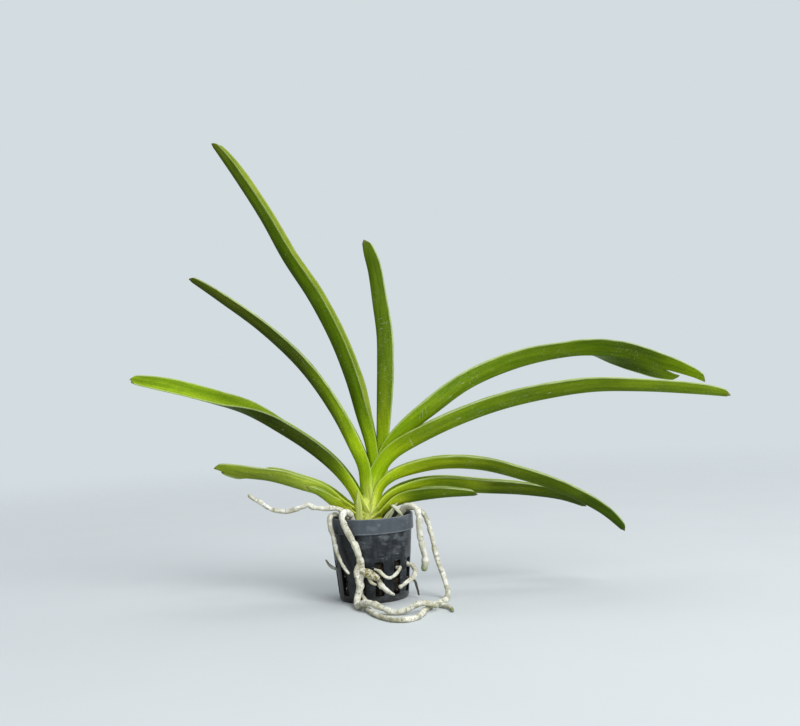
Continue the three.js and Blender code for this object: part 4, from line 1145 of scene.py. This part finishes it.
def rootFinish(root):
    skin, soil = rootSkin, root["soil"]
    finish = newFinish(pieceName(root["node"]) + "Skin")
    place = meshPlace()
    blotch = cloud(place, 4.5, 4, 0.6)
    colour = tint(remap(blotch, 0.36, 0.64), tone(*skin["silver"]), tone(*skin["chalk"]))
    dull = remap(cloud(place, 2.2, 4, 0.65), 0.48, 0.62, 0.0, 0.85)
    colour = stain(colour, dull * min(1.0, 0.45 + soil), skin["grey"])
    patch = remap(cloud(place, 7.0, 2), 0.4, 0.62)
    colour = stain(colour, patch * min(0.7, soil * 1.6), skin["olive"])
    grime = remap(cloud(place, 0.9, 5, 0.7), 0.54, 0.7)
    colour = stain(colour, grime * patch * min(0.8, soil * 1.4), skin["soil"])
    # painted shade on the sides that face left and down, more where the root is dirtier
    facing = parted(Flow(addNode("NewGeometry").outputs["Normal"]))
    low = remap(facing[0] * 0.7 + facing[2], -0.95, 0.25, 0.9, 0.0)
    colour = stain(colour, low * (soil + 0.4), skin["shade"])
    ringAt = cloud(combine(readMark("along"), 0.0, root["seed"]), 2.4, 3, 0.7)
    ringLine = remap(abs(ringAt - 0.5), 0.004, 0.02, 1.0, 0.0) * remap(cloud(place, 1.6, 2), 0.5, 0.6)
    colour = stain(colour, ringLine * 0.7, skin["crack"])
    rough = cloud(place, 0.5, 4, 0.7)
    colour = stain(colour, readMark("tipGreen") * remap(blotch, 0.2, 0.5, 0.7, 1.0), skin["green"])
    moss = readMark("moss") * remap(cloud(place, 1.1, 4, 0.7), 0.44, 0.6)
    colour = stain(colour, moss, skin["mossTone"])
    if "dark" in root:
        colour = stain(colour, remap(rough, 0.2, 0.8, root["dark"] * 0.85, root["dark"]), skin["dead"])
    colour = tint(remap(rough, 0.3, 0.7) * 0.5, colour, dyed(colour, 0.86, 0.85, 0.8))
    setSurface(colour, remap(blotch, 0.3, 0.7, 0.72, 0.92), skin["specular"])
    relief(rough * 0.5 + blotch * 0.8 - ringLine * 0.5, 0.3, 0.8)
    return finish


def makeRoot(root):
    points, faces, samples = rootMesh(root)
    piece = addPiece(pieceName(root["node"]), points, faces, {}, [])
    if "branches" in root:
        voxelled(piece, rootForm["voxel"])
    near = KDTree(len(samples))
    for i, sample in enumerate(samples):
        near.insert(Vector(sample[0]) * mm, i)
    near.balance()
    nearest = [near.find(vertex.co)[1] for vertex in piece.data.vertices]
    for k, key in ((1, "along"), (2, "tipGreen"), (3, "moss")):
        addMark(piece.data, key, [samples[i][k] for i in nearest])
    piece.data.materials.append(rootFinish(root))
    standFor(piece, root["node"])


for root in roots:
    makeRoot(root)
print("roots ready:", len(roots))


# pot

potForm = {
    "height": 42, "bandHeight": 7.6, "bandRadius": 21.5, "bandStep": 0.4, "rimRound": 0.3,
    "wallTopRadius": 20.5, "baseRadius": 17.5, "cornerRadius": 1.5, "wall": 1, "floor": 1.3,
    "floorRound": 0.8, "ledge": 1,
    "sides": 192, "slots": 12, "slotWidth": 4.4, "slotBottom": 3.5, "slotTop": 20.5, "slotDepth": 8,
    "firstSlotDeg": 11, "slotCorner": 0.9, "bevel": 0.16, "sharpDeg": 38, "bevelDeg": 50,
    "rimWander": 0.14, "wallWander": 0.1,
}
potSkin = {
    "plastic": (27, 32, 38), "bandTone": (76, 84, 91), "dust": (150, 158, 164), "scratch": (168, 174, 176),
    "leftShade": (12, 13, 15),      # painted shade on the pot's left side, between the roots
    "edge": (138, 146, 152), "grime": (120, 112, 98), "roughness": (0.34, 0.62), "specular": 0.3,
}


def potProfile(form):
    # radius and height, from the middle of the underside over the rim to the middle of the inside
    height, wall, corner, rim = form["height"], form["wall"], form["cornerRadius"], form["rimRound"]
    base, top, bandOut, step = form["baseRadius"], form["wallTopRadius"], form["bandRadius"], form["bandStep"]
    bandBottom = height - form["bandHeight"]
    profile = [(0, 0), (base * 0.5, 0), (base - corner, 0)]
    for cos, sin in map(turned, (22, 45, 68, 90)):
        profile.append((base - corner + corner * sin, corner - corner * cos))
    low, high = profile[-1], (top, bandBottom - step / 2)
    profile += [(mix(low[0], high[0], t), mix(low[1], high[1], t)) for t in np.linspace(0, 1, 12)[1:]]
    profile += [(mix(high[0], bandOut, 0.5) + 0.1, bandBottom - 0.05), (bandOut, bandBottom + step / 2),
                (bandOut, bandBottom + 1.4), (bandOut, height - 3), (bandOut, height - 1.2)]
    for cos, sin in map(turned, (0, 30, 60, 90)):
        profile.append((bandOut - rim + rim * cos, height - rim + rim * sin))
    inner = bandOut - wall
    profile += [(inner + rim * 0.6, height), (inner, height - rim), (inner, mix(height, bandBottom, 0.5)),
                (inner, bandBottom + form["ledge"]), (top - wall, bandBottom)]
    low, high = (base - wall, corner + step), profile[-1]
    profile += [(mix(high[0], low[0], t), mix(high[1], low[1], t)) for t in np.linspace(0, 1, 8)[1:]]
    floor = form["floor"]
    profile += [(base - wall - form["floorRound"], floor), (base * 0.5, floor), (0, floor)]
    return profile


def potShell(form):
    points, faces, rings = [], [], []
    for radius, z in potProfile(form):
        if radius == 0:
            points.append((0, 0, z))
            rings.append([len(points) - 1])
            continue
        ring = []
        high, shown = float(ease(30, 42, z)), float(ease(2, 8, z))
        for i in range(form["sides"]):
            turn = 2 * math.pi * i / form["sides"]
            cos, sin = math.cos(turn), math.sin(turn)
            wander = noise.noise((cos * 2.3, sin * 2.3, z / 30))
            wander *= mix(form["wallWander"], form["rimWander"], high)
            lift = noise.noise((cos * 3.1 + 5, sin * 3.1, 2)) * form["rimWander"] * high
            reach = radius + wander * shown
            points.append((reach * cos, reach * sin, z + lift))
            ring.append(len(points) - 1)
        rings.append(ring)
    for lower, upper in zip(rings, rings[1:]):
        count = max(len(lower), len(upper))
        for i in range(count):
            k = (i + 1) % count
            if len(lower) == 1:
                faces.append((lower[0], upper[i], upper[k]))
            elif len(upper) == 1:
                faces.append((lower[i], lower[k], upper[0]))
            else:
                faces.append((lower[i], lower[k], upper[k], upper[i]))
    return points, faces


def slotCutters(form):
    half, corner = form["slotWidth"] / 2, form["slotCorner"]
    top, bottom = form["slotTop"], form["slotBottom"]
    outline = []
    for x, z, start in ((half, top, 0), (-half, top, 90), (-half, bottom, 180), (half, bottom, 270)):
        inX = x - math.copysign(corner, x)
        inZ = z - corner if z == top else z + corner
        for cos, sin in map(turned, np.linspace(start, start + 90, 5)):
            outline.append((inX + corner * cos, inZ + corner * sin))
    points, faces = [], []
    count = len(outline)
    outside = -form["baseRadius"] - form["wall"] - form["slotDepth"] / 2
    for i in range(form["slots"]):
        cos, sin = turned(form["firstSlotDeg"] + 360 / form["slots"] * i)
        first = len(points)
        for y in (outside, outside + form["slotDepth"]):
            points += [(x * cos - y * sin, x * sin + y * cos, z) for x, z in outline]
        faces.append(list(range(first, first + count)))
        faces.append(list(range(first + count, first + 2 * count))[::-1])
        faces += gridFaces(2, count, first)
    return points, faces


def potFinish():
    skin = potSkin
    finish = newFinish("potPlastic")
    place = meshPlace()
    x, _, z = parted(place)
    colour = tint(remap(z, 33.9, 34.6), tone(*skin["plastic"]), tone(*skin["bandTone"]))
    streak = cloud(meshPlace(1, 1, 0.42), 3.0, 4, 0.6)
    smear = cloud(meshPlace(0.6, 0.6, 1.1), 5.5, 5, 0.62)
    broad = cloud(place, 8.0, 3, 0.55)
    high = remap(z, 18.0, 34.0, 0.35, 0.8)
    film = remap(streak, 0.42, 0.72) * remap(broad, 0.35, 0.65, 0.25, 1.0) * high
    spots = remap(cloud(place, 1.3, 5, 0.72), 0.6, 0.72) * remap(broad, 0.45, 0.6)
    for dusty in (film * 0.2, remap(smear, 0.48, 0.66) * (high * 0.34), spots * 0.55):
        colour = stain(colour, dusty, skin["dust"])
    scratch = remap(cloud(meshPlace(0.12, 0.12, 1.5), 0.7, 2), 0.64, 0.7)
    scratch = scratch * remap(cloud(place, 5.0, 2), 0.5, 0.62)
    colour = stain(colour, scratch * 0.5, skin["scratch"])
    rimLine = remap(z, 41.5, 41.95, 0.0, 0.55)
    stepLine = remap(z, 34.2, 34.5) * remap(z, 34.7, 35.3, 0.5, 0.0)
    colour = stain(colour, larger(rimLine, stepLine) * remap(streak, 0.3, 0.6, 0.4, 1.0), skin["edge"])
    colour = stain(colour, remap(z, 0.0, 6.0, 0.3, 0.0) * broad, skin["grime"])
    # painted shade on the left side, between the roots, fading up the band
    leftShade = remap(x, -13.5, -5.0, 0.85, 0.0) * remap(z, 34.0, 41.0, 1.0, 0.45)
    colour = stain(colour, leftShade * remap(broad, 0.2, 0.5, 0.8, 1.0), skin["leftShade"])
    setSurface(colour, remap(larger(film, spots), 0.0, 0.8, *skin["roughness"]), skin["specular"])
    relief(broad + streak * 0.4 - scratch * 0.3, 0.25, 0.5)
    return finish


def makePot():
    form = potForm
    pot = addPiece("potShell", *potShell(form), {}, [potFinish()])
    cutter = addPiece("slotCutter", *slotCutters(form), {}, [])
    cut = pot.modifiers.new("slots", "BOOLEAN")
    cut.operation = "DIFFERENCE"
    cut.solver = "EXACT"
    cut.object = cutter
    soften = pot.modifiers.new("edges", "BEVEL")
    soften.width = form["bevel"] * mm
    soften.segments = 2
    soften.limit_method = "ANGLE"
    soften.angle_limit = math.radians(form["bevelDeg"])
    bakeShape(pot).set_sharp_from_angle(angle=math.radians(form["sharpDeg"]))
    bpy.data.objects.remove(cutter)
    standFor(pot, "pot")


makePot()
print("pot ready")


# bark in the pot, with bits of pale root among it

barkForm = {
    "floor": 1.6, "grid": 6, "rough": 0.5, "wallGap": 0.45, "seed": 7,
    "size": (8.0, 5.0, 3.2), "scale": (0.55, 1.15),
    "chunks": 210, "levels": (3.2, 32.5), "fromWall": (0.6, 2.6), "wallScale": 0.85,
    "topChunks": 46, "top": 34.5, "topReach": 17.5, "topLift": (-0.6, 2.2), "topSink": 1.2,
    "plugRings": ((1.8, 3.4), (4, 2.4), (12, 2.2), (22, 2.2), (30, 2.2), (33.2, 2.6), (34, 5)),
    "plugSides": 48, "plugRough": 0.7,
}
barkSkin = {
    "bark": (32, 27, 22), "barkLight": (66, 56, 44), "groove": (28, 22, 18), "dust": (112, 106, 94),
    "rootBits": (206, 204, 192), "plug": (12, 11, 10),
}


def barkLimit(z):
    # inside of the wall at a height, less the gap that the fill keeps
    form = potForm
    share = (z - form["cornerRadius"]) / (form["height"] - form["bandHeight"] - form["cornerRadius"])
    return mix(form["baseRadius"], form["wallTopRadius"], share) - form["wall"] - barkForm["wallGap"]


def chunkShape(size, seed):
    # rough-sided lump from a cube's grid
    n = barkForm["grid"]
    steps = np.linspace(-1, 1, n + 1)
    index, points, faces = {}, [], []

    def corner(x, y, z):
        key = (round(x, 4), round(y, 4), round(z, 4))
        if key not in index:
            index[key] = len(points)
            p = np.array([x, y, z])
            p = p / max(np.sum(np.abs(p) ** 6) ** (1 / 6), 1e-6)    # cube with worn edges
            rough = noise.noise((x * 1.3 + seed, y * 1.3, z * 1.3)) * 0.25
            rough += noise.noise((x * 3.5, y * 3.5 + seed, z * 3.5)) * 0.12
            p = p * (1 + rough * barkForm["rough"] * 2) * np.array(size) / 2
            points.append(p)
        return index[key]

    for axis in range(3):
        for sign in (-1, 1):
            for i in range(n):
                for j in range(n):
                    quad = []
                    for a, b in ((i, j), (i + 1, j), (i + 1, j + 1), (i, j + 1)):
                        p = [0, 0, 0]
                        p[axis] = sign
                        p[(axis + 1) % 3], p[(axis + 2) % 3] = steps[a], steps[b]
                        quad.append(corner(*p))
                    faces.append(quad)
    return np.array(points), faces


def barkFinish():
    skin = barkSkin
    finish = newFinish("barkPieces")
    place = meshPlace()
    fibre = cloud(meshPlace(0.35, 1, 1), 0.8, 5, 0.65)
    light = remap(readMark("shade"), 0.2, 1.0, 0.0, 0.75)
    colour = tint(light, tone(*skin["bark"]), tone(*skin["barkLight"]))
    colour = stain(colour, remap(fibre, 0.35, 0.65, 0.55, 0.0), skin["groove"])
    colour = stain(colour, remap(cloud(place, 1.0, 5, 0.75), 0.58, 0.7, 0.0, 0.7), skin["dust"])
    far, chosen = cells(place, 1.5, 0.28, 5.7)
    colour = stain(colour, remap(far, 0.16, 0.24, 1.0, 0.0) * chosen * 0.8, skin["rootBits"])
    setSurface(colour, 0.92, 0.25)
    relief(fibre + cloud(place, 0.5, 3), 0.5, 0.8)
    return finish


def plugFinish():
    finish = newFinish("barkDustAndShade")
    speck = cloud(meshPlace(), 0.9, 5, 0.7)
    # near-black dark dust, which also stands as painted shade in the gaps behind the chunks
    colour = tint(remap(speck, 0.45, 0.7), tone(*barkSkin["plug"]), tone(*barkSkin["bark"]))
    setSurface(colour, 0.95, 0.5)
    relief(speck, 0.5, 0.8)
    return finish


def plugRings():
    # dark filling behind the chunks, painted near-black as the shade in the gaps between them
    rings = []
    for z, inset in barkForm["plugRings"]:
        ring = []
        for k in range(barkForm["plugSides"]):
            turn = 2 * math.pi * k / barkForm["plugSides"]
            cos, sin = math.cos(turn), math.sin(turn)
            reach = barkLimit(z) - inset + barkForm["plugRough"] * noise.noise((cos * 3, sin * 3, z / 4))
            ring.append((reach * cos, reach * sin, z))
        rings.append(np.array(ring))
    return rings


def makeBark():
    form = barkForm
    draw = random.Random(form["seed"])
    points, faces, marks = [], [], {"shade": []}

    def place(centre, turn, tiltX, tiltY, scale, seed):
        shape, quads = chunkShape([side * scale * draw.uniform(0.8, 1.2) for side in form["size"]], seed)
        spin = Matrix.Rotation(turn, 3, "Z") @ Matrix.Rotation(tiltY, 3, "Y") @ Matrix.Rotation(tiltX, 3, "X")
        shape = shape @ np.array(spin).T + np.array(centre)
        limit = barkLimit(np.clip(shape[:, 2], 2, 34.4))
        radius = np.linalg.norm(shape[:, :2], axis=1)
        shape[:, :2] *= np.minimum(1, limit / np.maximum(radius, 1e-6))[:, None]
        shape[:, 2] = np.maximum(shape[:, 2], form["floor"])
        first = len(points)
        points.extend(shape)
        faces.extend([[first + k for k in quad] for quad in quads])
        marks["shade"].extend([draw.random()] * len(shape))

    def wild(most):
        return draw.uniform(-most, most)

    golden = math.pi * (3 - math.sqrt(5))
    for i in range(form["chunks"]):     # against the wall, from the floor up
        z = mix(*form["levels"], i / form["chunks"])
        turn = golden * i
        reach = barkLimit(z) - draw.uniform(*form["fromWall"])
        place((reach * math.cos(turn), reach * math.sin(turn), z), turn + wild(0.5) + math.pi / 2,
              wild(1.2), wild(0.9), draw.uniform(*form["scale"]) * form["wallScale"], i * 1.7)
    for i in range(form["topChunks"]):     # on the top
        reach = form["topReach"] * math.sqrt((i + 0.5) / form["topChunks"])
        turn = golden * i * 1.13
        z = form["top"] + draw.uniform(*form["topLift"]) - form["topSink"]
        place((reach * math.cos(turn), reach * math.sin(turn), z), draw.uniform(0, 6.28),
              wild(0.4), wild(0.45), draw.uniform(*form["scale"]), 500 + i * 2.3)
    barkFaces = len(faces)
    rings = plugRings()
    addRings(rings, [{"shade": [0.0] * form["plugSides"]}] * len(rings), points, faces, marks)
    faceFinish = [0] * barkFaces + [1] * (len(faces) - barkFaces)
    bark = addPiece("barkFill", points, faces, marks, [barkFinish(), plugFinish()], faceFinish, sharpDeg=50)
    standFor(bark, "medium")


makeBark()
print("bark ready")
